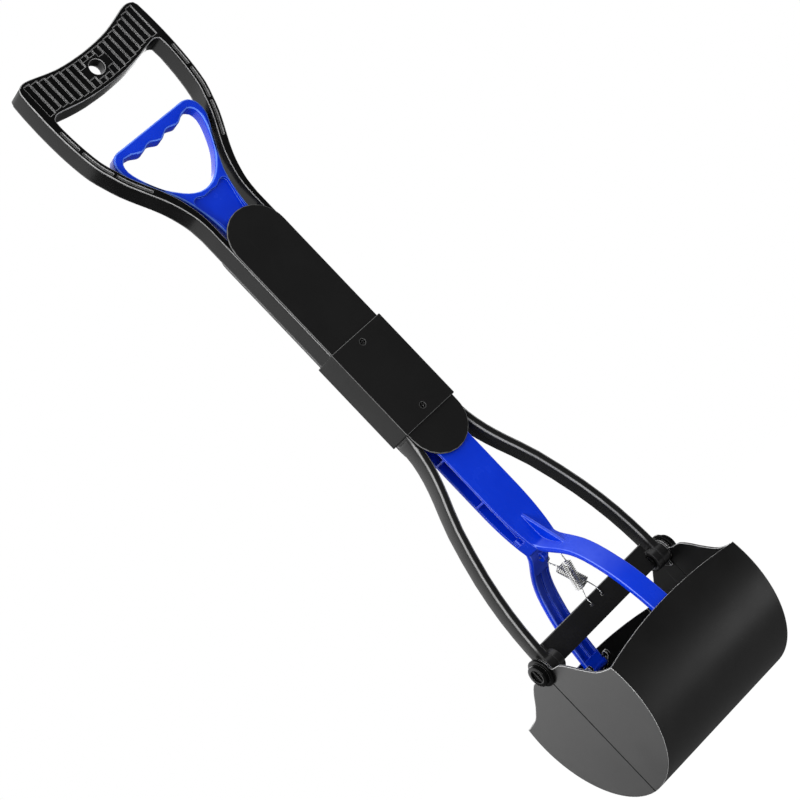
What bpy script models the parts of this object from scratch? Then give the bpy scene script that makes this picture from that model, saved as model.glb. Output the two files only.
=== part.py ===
"""A folding pooper scooper with a squeeze handle, a blue pull rod and two clamshell jaws.

Metres, +Z up along the tool. The origin is the centre of the hanging hole in the grip.
X runs across the tool, the front cover faces -Y, and the tool folds backwards, to +Y.
"""

import math

import bmesh
import bpy
from mathutils import Vector

# Clearances that every piece shares
GAP = 0.0003
CUT_OVERRUN = 0.002

# Grip frame: the D grip, its arms and the walls of the upper body
HOLE_RADIUS = 0.00675
GRIP_TOP = 0.0157
GRIP_BOTTOM = 0.0165
GRIP_CORNER_RISE = 0.0093
GRIP_BAR_ARCH = 0.0063
GRIP_HALF_WIDTH = 0.0673
OPENING_CORNER = 0.0075
ARM_WIDTH = 0.0068
ARM_OUTER_RIM = 0.0025
ARM_INNER_RIM = 0.0026
ARM_CHANNEL_DEPTH = 0.0018
ARM_CHANNEL_TOP = 0.013
ARM_CHANNEL_LENGTH = 0.092
ARM_CHANNEL_RIB = 0.002
NECK_DROP = 0.153
FRAME_DEPTH = 0.0213
GRIP_ROUNDING = 0.0038
INNER_ROUNDING_share = 0.24
BODY_WIDTH = 0.0545
BODY_WALL = 0.0045
GRIP_TOP_shares = (
    (0.0, 0.0), (0.21, 0.06), (0.42, 0.24), (0.62, 0.60), (0.75, 0.87), (0.85, 1.0), (0.93, 0.87),
    (0.985, 0.35),
)
GRIP_SIDE_shares = (
    (1.0, 0.02), (1.0, 0.10), (0.985, 0.20), (0.95, 0.30), (0.885, 0.40), (0.78, 0.48), (0.655, 0.56),
    (0.49, 0.64), (0.335, 0.71), (0.20, 0.78), (0.10, 0.85), (0.03, 0.92), (0.0, 1.0),
)
GRIP_BAR_shares = ((0.985, 0.62), (0.92, 1.0), (0.80, 0.88), (0.60, 0.48), (0.33, 0.13), (0.0, 0.0))
ARM_TAPER_START_share = 0.72

# Ribs across the grip bar, left standing between shallow grooves
GROOVE_COUNT = 18
GROOVE_FIELD = 0.122
GRIP_RIB = 0.0010
GROOVE_DEPTH = 0.0012
GROOVE_MARGIN = 0.003
HOLE_RING = 0.0022
POCKET_HALF_WIDTH = 0.0125
POCKET_HALF_HEIGHT = 0.0078
POCKET_DEPTH = 0.0092

# Fold joint: two pins, one a lug's width below the other
UPPER_PIN_DROP = 0.32565
LUG_GAP = 0.0006
PIN_RADIUS = 0.0022
PIN_HEAD_RADIUS = 0.0036
PIN_HEAD_LENGTH = 0.0015
LINK_THICKNESS = 0.003
LINK_MARGIN = 0.0015

# Cover plates
COVER_THICKNESS = 0.0019
COVER_ROUNDING = 0.0007
COVER_PAST_NECK = 0.0005
LOWER_COVER_LENGTH = 0.0425
GUIDE_RAIL_X = 0.011
GUIDE_RAIL_WIDTH = 0.0016
GUIDE_RAIL_TOP_DROP = 0.012

# Lock sleeve
SLEEVE_LENGTH = 0.0835
SLEEVE_WALL = 0.00125
SLEEVE_ABOVE_PIN = 0.0413
SLEEVE_ROUNDING = 0.0006
SCREW_RADIUS = 0.0024
SCREW_HEIGHT = 0.0009
SCREW_SLOT = 0.0006
SCREW_SLOT_DEPTH = 0.0004
SCREW_FROM_TOP = 0.0080
SCREW_FROM_BOTTOM = 0.0093

# Pull handle and the rod below it
ROD_HALF_WIDTH = 0.01615
ROD_DEPTH = 0.018
HANDLE_DEPTH = 0.0125
HANDLE_TOP_share = 0.394
HANDLE_PAST_NECK = 0.002
HANDLE_SIDE_CLEARANCE = 0.0035
HANDLE_WIDEST_share = 0.14
HANDLE_ROUNDING = 0.0018
HANDLE_BAR = 0.0065
HANDLE_OPENING_share = 0.676
STEM_RECESS_LENGTH = 0.046
STEM_RECESS_DEPTH = 0.003
STEM_RECESS_WALL = 0.0034
HANDLE_OUTLINE_shares = (
    (0.40, 0.0), (0.66, 0.0), (0.84, 0.02), (0.97, 0.075), (1.0, 0.14), (0.975, 0.20), (0.885, 0.265),
    (0.725, 0.35), (0.543, 0.455), (0.368, 0.555), (0.222, 0.65), (0.125, 0.755), (0.047, 0.87), (0.0, 1.0),
)
SCALLOP_PITCH_share = 0.494
SCALLOP_MIDDLE_share = 0.192
SCALLOP_RISE_share = 0.05
SCALLOP_HEIGHT_share = 0.024
SCALLOP_STEPS = 18
HANDLE_OPENING_shares = (
    (0.88, 0.118), (0.975, 0.17), (1.0, 0.27), (0.945, 0.40), (0.83, 0.56), (0.70, 0.70), (0.543, 0.815),
    (0.37, 0.917), (0.17, 0.983), (0.0, 1.0),
)
STEM_RECESS_shares = (
    (0.0, 0.0), (0.45, 0.01), (0.80, -0.045), (1.08, -0.03), (1.16, 0.06), (1.0, 0.30), (0.84, 0.56),
    (0.78, 1.0),
)

# Side channels of both rods, with cross ribs
CHANNEL_WALL = 0.0026
CHANNEL_WEB = 0.008
CHANNEL_BAY = 0.044
CHANNEL_RIB = 0.002

# Knuckles where the rods fold
KNUCKLE_RADIUS = 0.008
KNUCKLE_SLOT = 0.020
ROD_PIN_RADIUS = 0.002
ROD_LINK_RADIUS = 0.005
ROD_LINK_WIDTH = 0.0194

# Lower side arms
ARM_BAR_WIDTH = 0.0075
ARM_BAR_TOP_DEPTH = 0.019
ARM_BAR_END_DEPTH = 0.0145
ARM_BAR_ROUNDING = 0.0018
ARM_BELOW_SLEEVE = 0.0022
ARM_EYE_RADIUS = 0.0095
LOWER_ARM_shares = (
    (0.0, 0.0), (0.035, 0.085), (0.13, 0.17), (0.275, 0.255), (0.53, 0.39), (0.79, 0.59), (0.93, 0.76),
    (0.985, 0.90), (1.0, 1.0),
)

# Jaw pivot
LOWER_LENGTH = 0.21885
PIVOT_PIN_RADIUS = 0.0037
PIVOT_HEAD_RADIUS = 0.0062
PIVOT_HEAD_LENGTH = 0.0018
CAP_RADIUS = 0.0122
CAP_THICKNESS = 0.0062
CAP_FLANGE = 0.0022
CAP_CROWN_RADIUS = 0.0092
CAP_DISH_RADIUS = 0.0058
CAP_DISH_DEPTH = 0.0022
CAP_BAR = 0.0018
CAP_BORE_DEPTH = 0.003

# Crossbar
CROSSBAR_ABOVE_PIVOT = 0.0159
CROSSBAR_HEIGHT = 0.021
CROSSBAR_THICKNESS = 0.0035
CROSSBAR_SETBACK = 0.0031
CROSSBAR_HUB_RADIUS = 0.0092
CROSSBAR_HUB_LENGTH = 0.0058
SPRING_HOLE_X = 0.0065
SPRING_HOLE_RADIUS = 0.0014
SPRING_HOLE_FROM_TOP = 0.0065

# Clamshell jaws
JAW_HALF_WIDTH = 0.07735
JAW_RADIUS = 0.078
JAW_CENTRE_BELOW_PIVOT = 0.0451
JAW_WALL = 0.002
JAW_PLATE = 0.0017
JAW_EAR_RADIUS = 0.0092
JAW_EAR_THICKNESS = 0.0014
JAW_EAR_WEB = 0.0045
JAW_RIM_DROP = 0.0284
RIM_ARCH = 0.0072
RIM_ARCH_STEPS = 12
JAW_TOP_shares = (
    (0.10, 0.05), (0.20, 0.11), (0.30, 0.13), (0.42, 0.31), (0.54, 0.55), (0.70, 0.83), (0.80, 0.93),
    (0.91, 0.985),
    (1.0, 1.0),
)
JAW_EAR_WEB_START_deg = -78.0
JAW_EAR_WEB_END_deg = -25.0

# Fork below the lower rod
FORK_PIN_FROM_SHELL = 0.012
FORK_PIN_BELOW_PIVOT = 0.0318
CROTCH_ABOVE_PIVOT = 0.0684
FORK_RIBBON_WIDTH = 0.018
FORK_RIBBON_THICKNESS = 0.0052
FORK_EYE_RADIUS = 0.0037
FORK_CHANNEL_DEPTH = 0.0016
FORK_CHANNEL_RIM = 0.0022
FORK_CHANNEL_RIB = 0.0016
FORK_CHANNEL_START_share = 0.36
FORK_CHANNEL_END_share = 0.94
FORK_PIN_RADIUS = 0.0014
ROD_TAPER_LENGTH = 0.046
FORK_ARM_shares = (
    (0.095, -0.16), (0.11, -0.04), (0.20, 0.035), (0.36, 0.105), (0.52, 0.185), (0.65, 0.29), (0.765, 0.43),
    (0.86, 0.58), (0.94, 0.78), (1.0, 1.0),
)
FORK_SHOULDER_share = 1.42
ROD_TAPER_shares = ((1.0, 0.0), (0.985, 0.20), (0.95, 0.42), (0.885, 0.64), (0.80, 0.84), (0.70, 1.0))
GUSSET_THICKNESS = 0.0024
GUSSET_TOP_ABOVE_CROTCH = 0.027
GUSSET_END_share = 0.40
BOSS_Y = 0.0112
BOSS_BELOW_CROTCH = 0.0068
BOSS_RADIUS = 0.0043
BOSS_THICKNESS = 0.0046
BOSS_HOLE_RADIUS = 0.0014

# Ears on the jaws, with a curved slot for the fork's pins
JAW_LUG_THICKNESS = 0.0026
JAW_LUG_WALL = 0.0010

# What the mechanism does
PULL_TRAVEL = 0.035

# Springs
WIRE_RADIUS = 0.0005
COIL_RADIUS = 0.0036
COIL_PITCH = 0.00147
COIL_TURNS = 17
COIL_POINTS = 8
COIL_TAPER_TURNS = 0.75
COIL_END_RADIUS = 0.0009

# Fineness of curves
CURVE_STEPS = 2
SLOT_STEPS = 10
SHARP_EDGE_deg = 35.0
ARC_TOLERANCE = 0.00008
SHELL_FINENESS = 1.8
WIDEST_ARC_STEP_deg = 22.5

UPPER_PIN_Z = -UPPER_PIN_DROP
LUG_RADIUS = FRAME_DEPTH / 2
LOWER_PIN_Z = UPPER_PIN_Z - FRAME_DEPTH - LUG_GAP
SLEEVE_TOP_Z = UPPER_PIN_Z + SLEEVE_ABOVE_PIN
SLEEVE_BOTTOM_Z = SLEEVE_TOP_Z - SLEEVE_LENGTH
ARM_BAR_TOP_Z = SLEEVE_BOTTOM_Z - ARM_BELOW_SLEEVE
HANDLE_TOP_Z = -NECK_DROP * HANDLE_TOP_share
HANDLE_LENGTH = HANDLE_TOP_Z + NECK_DROP + HANDLE_PAST_NECK
HANDLE_OPENING_DEPTH = HANDLE_LENGTH * HANDLE_OPENING_share
BODY_HALF = BODY_WIDTH / 2
WALL_INSIDE = BODY_HALF - BODY_WALL
HALF_DEPTH = FRAME_DEPTH / 2
COVER_OUTSIDE = HALF_DEPTH + GAP + COVER_THICKNESS
ROD_HALF_DEPTH = ROD_DEPTH / 2
HANDLE_HALF_DEPTH = HANDLE_DEPTH / 2
PIVOT_Z = LOWER_PIN_Z - LOWER_LENGTH
JAW_CENTRE_Z = PIVOT_Z - JAW_CENTRE_BELOW_PIVOT
CROTCH_Z = PIVOT_Z + CROTCH_ABOVE_PIVOT
ROD_TAPER_TOP_Z = CROTCH_Z + ROD_TAPER_LENGTH
FORK_PIN_Y = JAW_RADIUS - FORK_PIN_FROM_SHELL
FORK_PIN_Z = PIVOT_Z - FORK_PIN_BELOW_PIVOT
CROSSBAR_TOP_Z = PIVOT_Z + CROSSBAR_ABOVE_PIVOT
SPRING_HOLE_Z = CROSSBAR_TOP_Z - SPRING_HOLE_FROM_TOP
BOSS_Z = CROTCH_Z - BOSS_BELOW_CROTCH
PIN_HOLE_RADIUS = PIN_RADIUS + GAP
LINK_OUTSIDE = WALL_INSIDE - GAP
LINK_INSIDE = LINK_OUTSIDE - LINK_THICKNESS
JAW_PLATE_INSIDE = JAW_HALF_WIDTH - JAW_PLATE
EAR_OUTSIDE = JAW_PLATE_INSIDE - GAP
EAR_INSIDE = EAR_OUTSIDE - JAW_EAR_THICKNESS
ARM_EYE_OUTSIDE = EAR_INSIDE - GAP
ARM_EYE_X = ARM_EYE_OUTSIDE - ARM_BAR_WIDTH / 2
ARM_EYE_INSIDE = ARM_EYE_OUTSIDE - ARM_BAR_WIDTH
HUB_OUTSIDE = ARM_EYE_INSIDE - GAP
HUB_INSIDE = HUB_OUTSIDE - CROSSBAR_HUB_LENGTH
JAW_TURN = (
    math.atan2(PULL_TRAVEL - FORK_PIN_BELOW_PIVOT, FORK_PIN_Y) + math.atan2(FORK_PIN_BELOW_PIVOT, FORK_PIN_Y)
)

# Looks: a colour, a roughness and how metallic it is
BODY_PLASTIC = ((0.012, 0.012, 0.012, 1.0), 0.38, 0.0)
COVER_PLASTIC = ((0.010, 0.010, 0.010, 1.0), 0.60, 0.0)
JAW_PLASTIC = ((0.020, 0.020, 0.020, 1.0), 0.45, 0.0)
BLUE_PLASTIC = ((0.001, 0.030, 0.620, 1.0), 0.32, 0.0)
ZINC = ((0.72, 0.72, 0.70, 1.0), 0.32, 1.0)
DARK_STEEL = ((0.05, 0.05, 0.05, 1.0), 0.40, 0.9)


def clear_scene():
    for old in list(bpy.data.objects):
        bpy.data.objects.remove(old, do_unlink=True)


def material(name, colour, roughness, metallic):
    made = bpy.data.materials.new(f"{name}_material")
    made.use_nodes = True
    shader = made.node_tree.nodes["Principled BSDF"]
    shader.inputs["Base Color"].default_value = colour
    shader.inputs["Roughness"].default_value = roughness
    shader.inputs["Metallic"].default_value = metallic
    return made


def smooth_curve(points, steps=CURVE_STEPS):
    """A Catmull-Rom curve through the points, with this many steps in each stretch."""
    padded = [points[0], *points, points[-1]]
    curve = []
    for four in zip(padded, padded[1:], padded[2:], padded[3:]):
        for step in range(steps):
            t = step / steps
            curve.append(tuple(
                (2 * q + (r - p) * t + (2 * p - 5 * q + 4 * r - s) * t ** 2
                 + (3 * q - p - 3 * r + s) * t ** 3) / 2
                for p, q, r, s in zip(*four)
            ))
    return [*curve, tuple(points[-1])]


def arc_step_deg(radius):
    """The step that keeps the flats of a circle within the tolerance."""
    return min(math.degrees(2 * math.acos(max(1 - ARC_TOLERANCE / radius, 0))), WIDEST_ARC_STEP_deg)


def arc(centre, radius, start_deg, end_deg, fineness=1):
    """Points on a circle, both ends included."""
    steps = max(2, math.ceil(fineness * abs(end_deg - start_deg) / arc_step_deg(radius)))
    angles = [math.radians(start_deg + (end_deg - start_deg) * i / steps) for i in range(steps + 1)]
    return [(centre[0] + radius * math.cos(a), centre[1] + radius * math.sin(a)) for a in angles]


def circle(centre, radius):
    start = arc_step_deg(radius) / 3
    return arc(centre, radius, start, 360 + start)[:-1]


def offset(points, distances):
    """The curve moved to its right-hand side, by one distance for each point."""
    moved = []
    for i, (point, distance) in enumerate(zip(points, distances)):
        before = Vector(points[max(i - 1, 0)])
        after = Vector(points[min(i + 1, len(points) - 1)])
        along = (after - before).normalized()
        moved.append((point[0] + along.y * distance, point[1] - along.x * distance))
    return moved


def placed(axis, u, v, w):
    """A point of an outline: u and v in the plane square to the axis, w along it."""
    return {"X": (w, u, v), "Y": (u, w, v), "Z": (u, v, w)}[axis]


def add_prism(bm, outline, axis, low, high, open_at_middle=False):
    """A closed prism. One that is open at the middle is half a shape, which a mirror completes."""
    bottom = [bm.verts.new(placed(axis, u, v, low)) for u, v in outline]
    top = [bm.verts.new(placed(axis, u, v, high)) for u, v in outline]
    bm.faces.new(bottom)
    bm.faces.new(top)
    for i, (u, _) in enumerate(outline):
        j = (i + 1) % len(outline)
        if open_at_middle and u == 0 and outline[j][0] == 0:
            continue
        bm.faces.new((bottom[i], bottom[j], top[j], top[i]))


def add_box(bm, low, high):
    outline = [(low[0], low[2]), (high[0], low[2]), (high[0], high[2]), (low[0], high[2])]
    add_prism(bm, outline, "Y", low[1], high[1])


def add_loft(bm, rings):
    """A closed tube through rings of points, which all have the same count."""
    loops = [[bm.verts.new(point) for point in ring] for ring in rings]
    for one, two in zip(loops, loops[1:]):
        for i in range(len(one)):
            j = (i + 1) % len(one)
            bm.faces.new((one[i], one[j], two[j], two[i]))
    bm.faces.new(loops[0])
    bm.faces.new(loops[-1])


def add_revolve(bm, profile, centre, side):
    """A turned solid on a line along X. The profile is (distance along, radius), from axis to axis."""
    steps = math.ceil(360 / arc_step_deg(max(radius for _, radius in profile)))
    start = bm.verts.new((side * profile[0][0], centre[0], centre[1]))
    end = bm.verts.new((side * profile[-1][0], centre[0], centre[1]))
    rings = []
    for along, radius in profile[1:-1]:
        angles = [2 * math.pi * i / steps for i in range(steps)]
        rings.append([
            bm.verts.new((side * along, centre[0] + radius * math.cos(a), centre[1] + radius * math.sin(a)))
            for a in angles
        ])
    for i in range(steps):
        j = (i + 1) % steps
        bm.faces.new((start, rings[0][i], rings[0][j]))
        bm.faces.new((end, rings[-1][j], rings[-1][i]))
        for one, two in zip(rings, rings[1:]):
            bm.faces.new((one[i], two[i], two[j], one[j]))


def finish(name, bm, look, origin=(0, 0, 0)):
    """Makes the object, with its normals outward, its origin where told and smooth shading."""
    bmesh.ops.recalc_face_normals(bm, faces=bm.faces)
    bmesh.ops.translate(bm, verts=bm.verts, vec=-Vector(origin))
    mesh = bpy.data.meshes.new(name)
    bm.to_mesh(mesh)
    bm.free()
    mesh.shade_smooth()
    mesh.set_sharp_from_angle(angle=math.radians(SHARP_EDGE_deg))
    if look:
        mesh.materials.append(material(name, *look))
    made = bpy.data.objects.new(name, mesh)
    made.location = origin
    bpy.context.scene.collection.objects.link(made)
    return made


def helper(name, bm):
    """A cutter, or a shape to be joined on, which isn't a piece itself."""
    made = finish(name, bm, None)
    made.hide_render = True
    made.display_type = "WIRE"
    made.hide_viewport = False
    return made


def boolean(target, bm, operation):
    step = target.modifiers.new(f"{operation.lower()} {len(target.modifiers)}", "BOOLEAN")
    step.operation = operation
    step.solver = "EXACT"
    step.object = helper(f"{target.name} {operation.lower()} {len(target.modifiers)}", bm)


def weigh_sharp_edges(target, weight_at, angle=50):
    """Sets how strongly each sharp edge is rounded, by its place."""
    bm = bmesh.new()
    bm.from_mesh(target.data)
    layer = bm.edges.layers.float.new("bevel_weight_edge")
    for edge in bm.edges:
        if len(edge.link_faces) == 2 and edge.calc_face_angle() > math.radians(angle):
            middle = (edge.verts[0].co + edge.verts[1].co) / 2
            edge[layer] = weight_at(middle.x, middle.z)
    bm.to_mesh(target.data)
    bm.free()


def round_edges(target, width, segments=2, angle=50, limit="ANGLE"):
    step = target.modifiers.new("rounded edges", "BEVEL")
    step.width = width
    step.segments = segments
    step.limit_method = limit
    step.angle_limit = math.radians(angle)


def mirror_halves(target):
    step = target.modifiers.new("other half", "MIRROR")
    step.use_axis = (True, False, False)
    step.use_clip = True
    step.merge_threshold = 1e-5


def sharp_edges_group():
    """Geometry nodes that shade a finished shape smooth, but not over its sharp edges."""
    group = bpy.data.node_groups.new("sharp edges by angle", "GeometryNodeTree")
    group.interface.new_socket("Geometry", in_out="INPUT", socket_type="NodeSocketGeometry")
    group.interface.new_socket("Geometry", in_out="OUTPUT", socket_type="NodeSocketGeometry")
    start, end = group.nodes.new("NodeGroupInput"), group.nodes.new("NodeGroupOutput")
    angle = group.nodes.new("GeometryNodeInputMeshEdgeAngle")
    blunt = group.nodes.new("FunctionNodeCompare")
    blunt.operation = "LESS_THAN"
    blunt.inputs["B"].default_value = math.radians(SHARP_EDGE_deg)
    shade = group.nodes.new("GeometryNodeSetShadeSmooth")
    shade.domain = "EDGE"
    group.links.new(angle.outputs["Unsigned Angle"], blunt.inputs["A"])
    group.links.new(blunt.outputs["Result"], shade.inputs["Shade Smooth"])
    group.links.new(start.outputs[0], shade.inputs["Geometry"])
    group.links.new(shade.outputs[0], end.inputs[0])
    return group


def shade_by_angle():
    """The last modifier of every piece that Booleans or a bevel have changed."""
    group = sharp_edges_group()
    for piece in bpy.data.objects:
        if piece.modifiers and not piece.hide_render:
            piece.modifiers.new("sharp edges", "NODES").node_group = group


def stand_between(outline, axis, low, high):
    bm = bmesh.new()
    add_prism(bm, outline, axis, low, high)
    return bm


def end_rounding(pin_z, direction, half_width, radius=LUG_RADIUS):
    """What a bar loses beyond its pin, where it ends in a half round. direction is the bar's free side."""
    reach = radius + CUT_OVERRUN
    outline = [(reach, pin_z), *arc((0, pin_z), radius, 0, 180 * direction), (-reach, pin_z)]
    outline += [(-reach, pin_z + direction * reach), (reach, pin_z + direction * reach)]
    return stand_between(outline, "X", -half_width, half_width)


def pin_hole(pin, radius, half_width):
    return stand_between(circle(pin, radius), "X", -half_width, half_width)


# The grip frame's own curves
def grip_outer_curve():
    """The right half of the outline, as (x, z), from the middle of the top to the body."""
    top = [(GRIP_HALF_WIDTH * w, GRIP_TOP + GRIP_CORNER_RISE * rise) for w, rise in GRIP_TOP_shares]
    reach = GRIP_HALF_WIDTH - BODY_HALF
    side = [(BODY_HALF + reach * w, -NECK_DROP * drop) for w, drop in GRIP_SIDE_shares]
    return smooth_curve(top + side)


def arm_width_at(z):
    """The arms narrow to the body's wall as they near the body."""
    start = NECK_DROP * ARM_TAPER_START_share
    share = min(max((-z - start) / (NECK_DROP - start), 0), 1)
    return ARM_WIDTH + (BODY_WALL - ARM_WIDTH) * share


def grip_side_curve():
    """The part of the outer curve that the arms follow."""
    corner_z = -GRIP_BOTTOM + GRIP_BAR_ARCH - OPENING_CORNER
    return [point for point in grip_outer_curve() if point[1] < corner_z]


def grip_opening_curve():
    """The inside of the right half, as (x, z), from the body up and over to the middle of the bar."""
    side = grip_side_curve()
    inner = offset(side, [arm_width_at(z) for _, z in side])[::-1]
    reach = GRIP_HALF_WIDTH - ARM_WIDTH
    bar = [(reach * w, -GRIP_BOTTOM + GRIP_BAR_ARCH * rise) for w, rise in GRIP_BAR_shares]
    return inner + smooth_curve(bar)


def height_at(curve, x):
    """The height of a curve that runs across the tool, at one place."""
    for (x1, z1), (x2, z2) in zip(curve, curve[1:]):
        if min(x1, x2) <= x <= max(x1, x2) and x1 != x2:
            return z1 + (z2 - z1) * (x - x1) / (x2 - x1)
    return curve[0][1]


def back_pocket():
    """The flat hollow behind the hanging hole, so that a thin hook reaches through."""
    floor = HALF_DEPTH - POCKET_DEPTH
    bm = bmesh.new()
    low = (-POCKET_HALF_WIDTH, floor, -POCKET_HALF_HEIGHT)
    add_box(bm, low, (POCKET_HALF_WIDTH, HALF_DEPTH + CUT_OVERRUN, POCKET_HALF_HEIGHT))
    return bm


def add_groove(bm, x, half, low, high, side):
    surface = side * HALF_DEPTH
    inner, outer = surface - side * GROOVE_DEPTH, surface + side * CUT_OVERRUN
    add_box(bm, (x - half, min(inner, outer), low), (x + half, max(inner, outer), high))


def add_grip_grooves(bm):
    """The grooves that leave the ribs standing, on both faces, and clear of the ring round the hole."""
    top, bar = grip_outer_curve(), grip_opening_curve()[-len(GRIP_BAR_shares) * CURVE_STEPS:]
    pitch = GROOVE_FIELD / GROOVE_COUNT
    half = (pitch - GRIP_RIB) / 2
    ring = HOLE_RADIUS + HOLE_RING
    for i in range(GROOVE_COUNT):
        x = -GROOVE_FIELD / 2 + pitch * (i + 1 / 2)
        far = abs(x) + half
        low = max(height_at(bar, abs(x)), height_at(bar, far)) + GROOVE_MARGIN
        high = min(height_at(top, abs(x)), height_at(top, abs(x) - half)) - GROOVE_MARGIN
        near = max(abs(x) - half, 0)
        blocked = math.sqrt(ring ** 2 - near ** 2) if near < ring else 0
        spans = [(low, -blocked), (blocked, high)] if blocked else [(low, high)]
        faces = (-1,) if near < POCKET_HALF_WIDTH + GROOVE_MARGIN else (-1, 1)
        for side in faces:
            for start, end in spans:
                if end - start > GROOVE_DEPTH:
                    add_groove(bm, x, half, start, end, side)


def add_arm_channels(bm):
    """Shallow channels along both faces of the grip's arms, with cross ribs left between their bays."""
    bays = 3
    bay = (ARM_CHANNEL_LENGTH - ARM_CHANNEL_RIB * (bays - 1)) / bays
    curve = smooth_curve(grip_side_curve(), 2)
    for i in range(bays):
        top = -ARM_CHANNEL_TOP - i * (bay + ARM_CHANNEL_RIB)
        run = [point for point in curve if top - bay <= point[1] <= top]
        inner = [ARM_WIDTH - ARM_INNER_RIM] * len(run)
        strip = offset(run, [ARM_OUTER_RIM] * len(run)) + offset(run, inner)[::-1]
        for across in (-1, 1):
            outline = [(across * x, z) for x, z in strip]
            for side in (-1, 1):
                ends = (side * (HALF_DEPTH - ARM_CHANNEL_DEPTH), side * (HALF_DEPTH + CUT_OVERRUN))
                add_prism(bm, outline, "Y", min(ends), max(ends))


def width_at(curve, z):
    """How far out a curve that runs down the tool is, at one height."""
    for (x1, z1), (x2, z2) in zip(curve, curve[1:]):
        if min(z1, z2) <= z <= max(z1, z2) and z1 != z2:
            return x1 + (x2 - x1) * (z - z1) / (z2 - z1)
    return curve[-1][0]


def frame_rounding_at(x, z):
    """The grip is well rounded outside, and little round its opening and where the covers lie."""
    if z < 0 and abs(x) < width_at(grip_side_curve(), z) - ARM_WIDTH / 2:
        return INNER_ROUNDING_share
    share = min(max((z + NECK_DROP) / (NECK_DROP * (1 - ARM_TAPER_START_share)), 0), 1)
    return INNER_ROUNDING_share + (1 - INNER_ROUNDING_share) * share


def make_grip_frame(look):
    """The moulded D grip, its two arms and the side walls that end in the upper lugs."""
    lug_end = UPPER_PIN_Z - LUG_RADIUS
    outline = grip_outer_curve() + [(BODY_HALF, lug_end), (WALL_INSIDE, lug_end)] + grip_opening_curve()
    bm = bmesh.new()
    add_prism(bm, outline, "Y", -HALF_DEPTH, HALF_DEPTH, open_at_middle=True)
    frame = finish("grip_frame", bm, look)
    mirror_halves(frame)
    weigh_sharp_edges(frame, frame_rounding_at)
    round_edges(frame, GRIP_ROUNDING, limit="WEIGHT")
    boolean(frame, end_rounding(UPPER_PIN_Z, -1, GRIP_HALF_WIDTH), "DIFFERENCE")
    boolean(frame, pin_hole((0, UPPER_PIN_Z), PIN_HOLE_RADIUS, GRIP_HALF_WIDTH), "DIFFERENCE")
    through = HALF_DEPTH + CUT_OVERRUN
    cuts = stand_between(circle((0, 0), HOLE_RADIUS), "Y", -through, through)
    add_grip_grooves(cuts)
    add_arm_channels(cuts)
    boolean(frame, cuts, "DIFFERENCE")
    boolean(frame, back_pocket(), "DIFFERENCE")
    return frame


def make_cover(name, look, side, round_z, square_z):
    """A flat plate with one half-round end, and two rails inside that guide the rod."""
    direction = 1 if round_z > square_z else -1
    centre_z = round_z - direction * BODY_HALF
    round_end = arc((0, centre_z), BODY_HALF, 0, 180 * direction)
    outline = [(BODY_HALF, square_z), *round_end, (-BODY_HALF, square_z)]
    inner, outer = side * (HALF_DEPTH + GAP), side * COVER_OUTSIDE
    bm = bmesh.new()
    add_prism(bm, outline, "Y", min(inner, outer), max(inner, outer))
    cover = finish(name, bm, look)
    round_edges(cover, COVER_ROUNDING, segments=1)
    rail_tip = side * (ROD_HALF_DEPTH + GAP)
    rail_root = side * (HALF_DEPTH + GAP + COVER_THICKNESS / 2)
    ends = sorted((square_z + direction * GUIDE_RAIL_WIDTH, round_z - direction * GUIDE_RAIL_TOP_DROP))
    rails = bmesh.new()
    for x in (-GUIDE_RAIL_X, GUIDE_RAIL_X):
        low = (x - GUIDE_RAIL_WIDTH / 2, min(rail_tip, rail_root), ends[0])
        high = (x + GUIDE_RAIL_WIDTH / 2, max(rail_tip, rail_root), ends[1])
        add_box(rails, low, high)
    boolean(cover, rails, "UNION")
    return cover


def sleeve_outside():
    """Half the sleeve's width and half its depth."""
    return BODY_HALF + GAP + SLEEVE_WALL, COVER_OUTSIDE + GAP + SLEEVE_WALL


def make_lock_sleeve(look):
    """The sliding sleeve. Its back is open beside the fold, so that the lower half can swing out."""
    wide, deep = sleeve_outside()
    top, bottom = SLEEVE_TOP_Z, SLEEVE_BOTTOM_Z
    bm = bmesh.new()
    add_box(bm, (-wide, -deep, bottom), (wide, deep, top))
    sleeve = finish("lock_sleeve", bm, look, (0, 0, top))
    round_edges(sleeve, SLEEVE_ROUNDING)
    bore = bmesh.new()
    inside_x, inside_y = wide - SLEEVE_WALL, deep - SLEEVE_WALL
    add_box(bore, (-inside_x, -inside_y, bottom - CUT_OVERRUN), (inside_x, inside_y, top + CUT_OVERRUN))
    boolean(sleeve, bore, "DIFFERENCE")
    window = bmesh.new()
    window_top = UPPER_PIN_Z + LUG_RADIUS + GAP
    add_box(window, (-inside_x, 0, bottom - CUT_OVERRUN), (inside_x, deep + CUT_OVERRUN, window_top))
    boolean(sleeve, window, "DIFFERENCE")
    seats = bmesh.new()
    for z in (top - SCREW_FROM_TOP, bottom + SCREW_FROM_BOTTOM):
        ring = circle((0, z), SCREW_RADIUS + GAP)
        add_prism(seats, ring, "Y", -deep - CUT_OVERRUN, -inside_y + CUT_OVERRUN)
    boolean(sleeve, seats, "DIFFERENCE")
    return sleeve


def make_sleeve_screw(name, look, z):
    """A flat screw head in its hole, with a crossed slot."""
    outer = -sleeve_outside()[1] + GAP
    inner = outer + SCREW_HEIGHT
    bm = bmesh.new()
    add_prism(bm, circle((0, z), SCREW_RADIUS), "Y", outer, inner)
    screw = finish(name, bm, look, (0, outer, z))
    reach = SCREW_RADIUS * 2 / 3
    for wide, tall in ((reach, SCREW_SLOT / 2), (SCREW_SLOT / 2, reach)):
        slot = bmesh.new()
        add_box(slot, (-wide, outer - CUT_OVERRUN, z - tall), (wide, outer + SCREW_SLOT_DEPTH, z + tall))
        boolean(screw, slot, "DIFFERENCE")
    return screw


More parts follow.
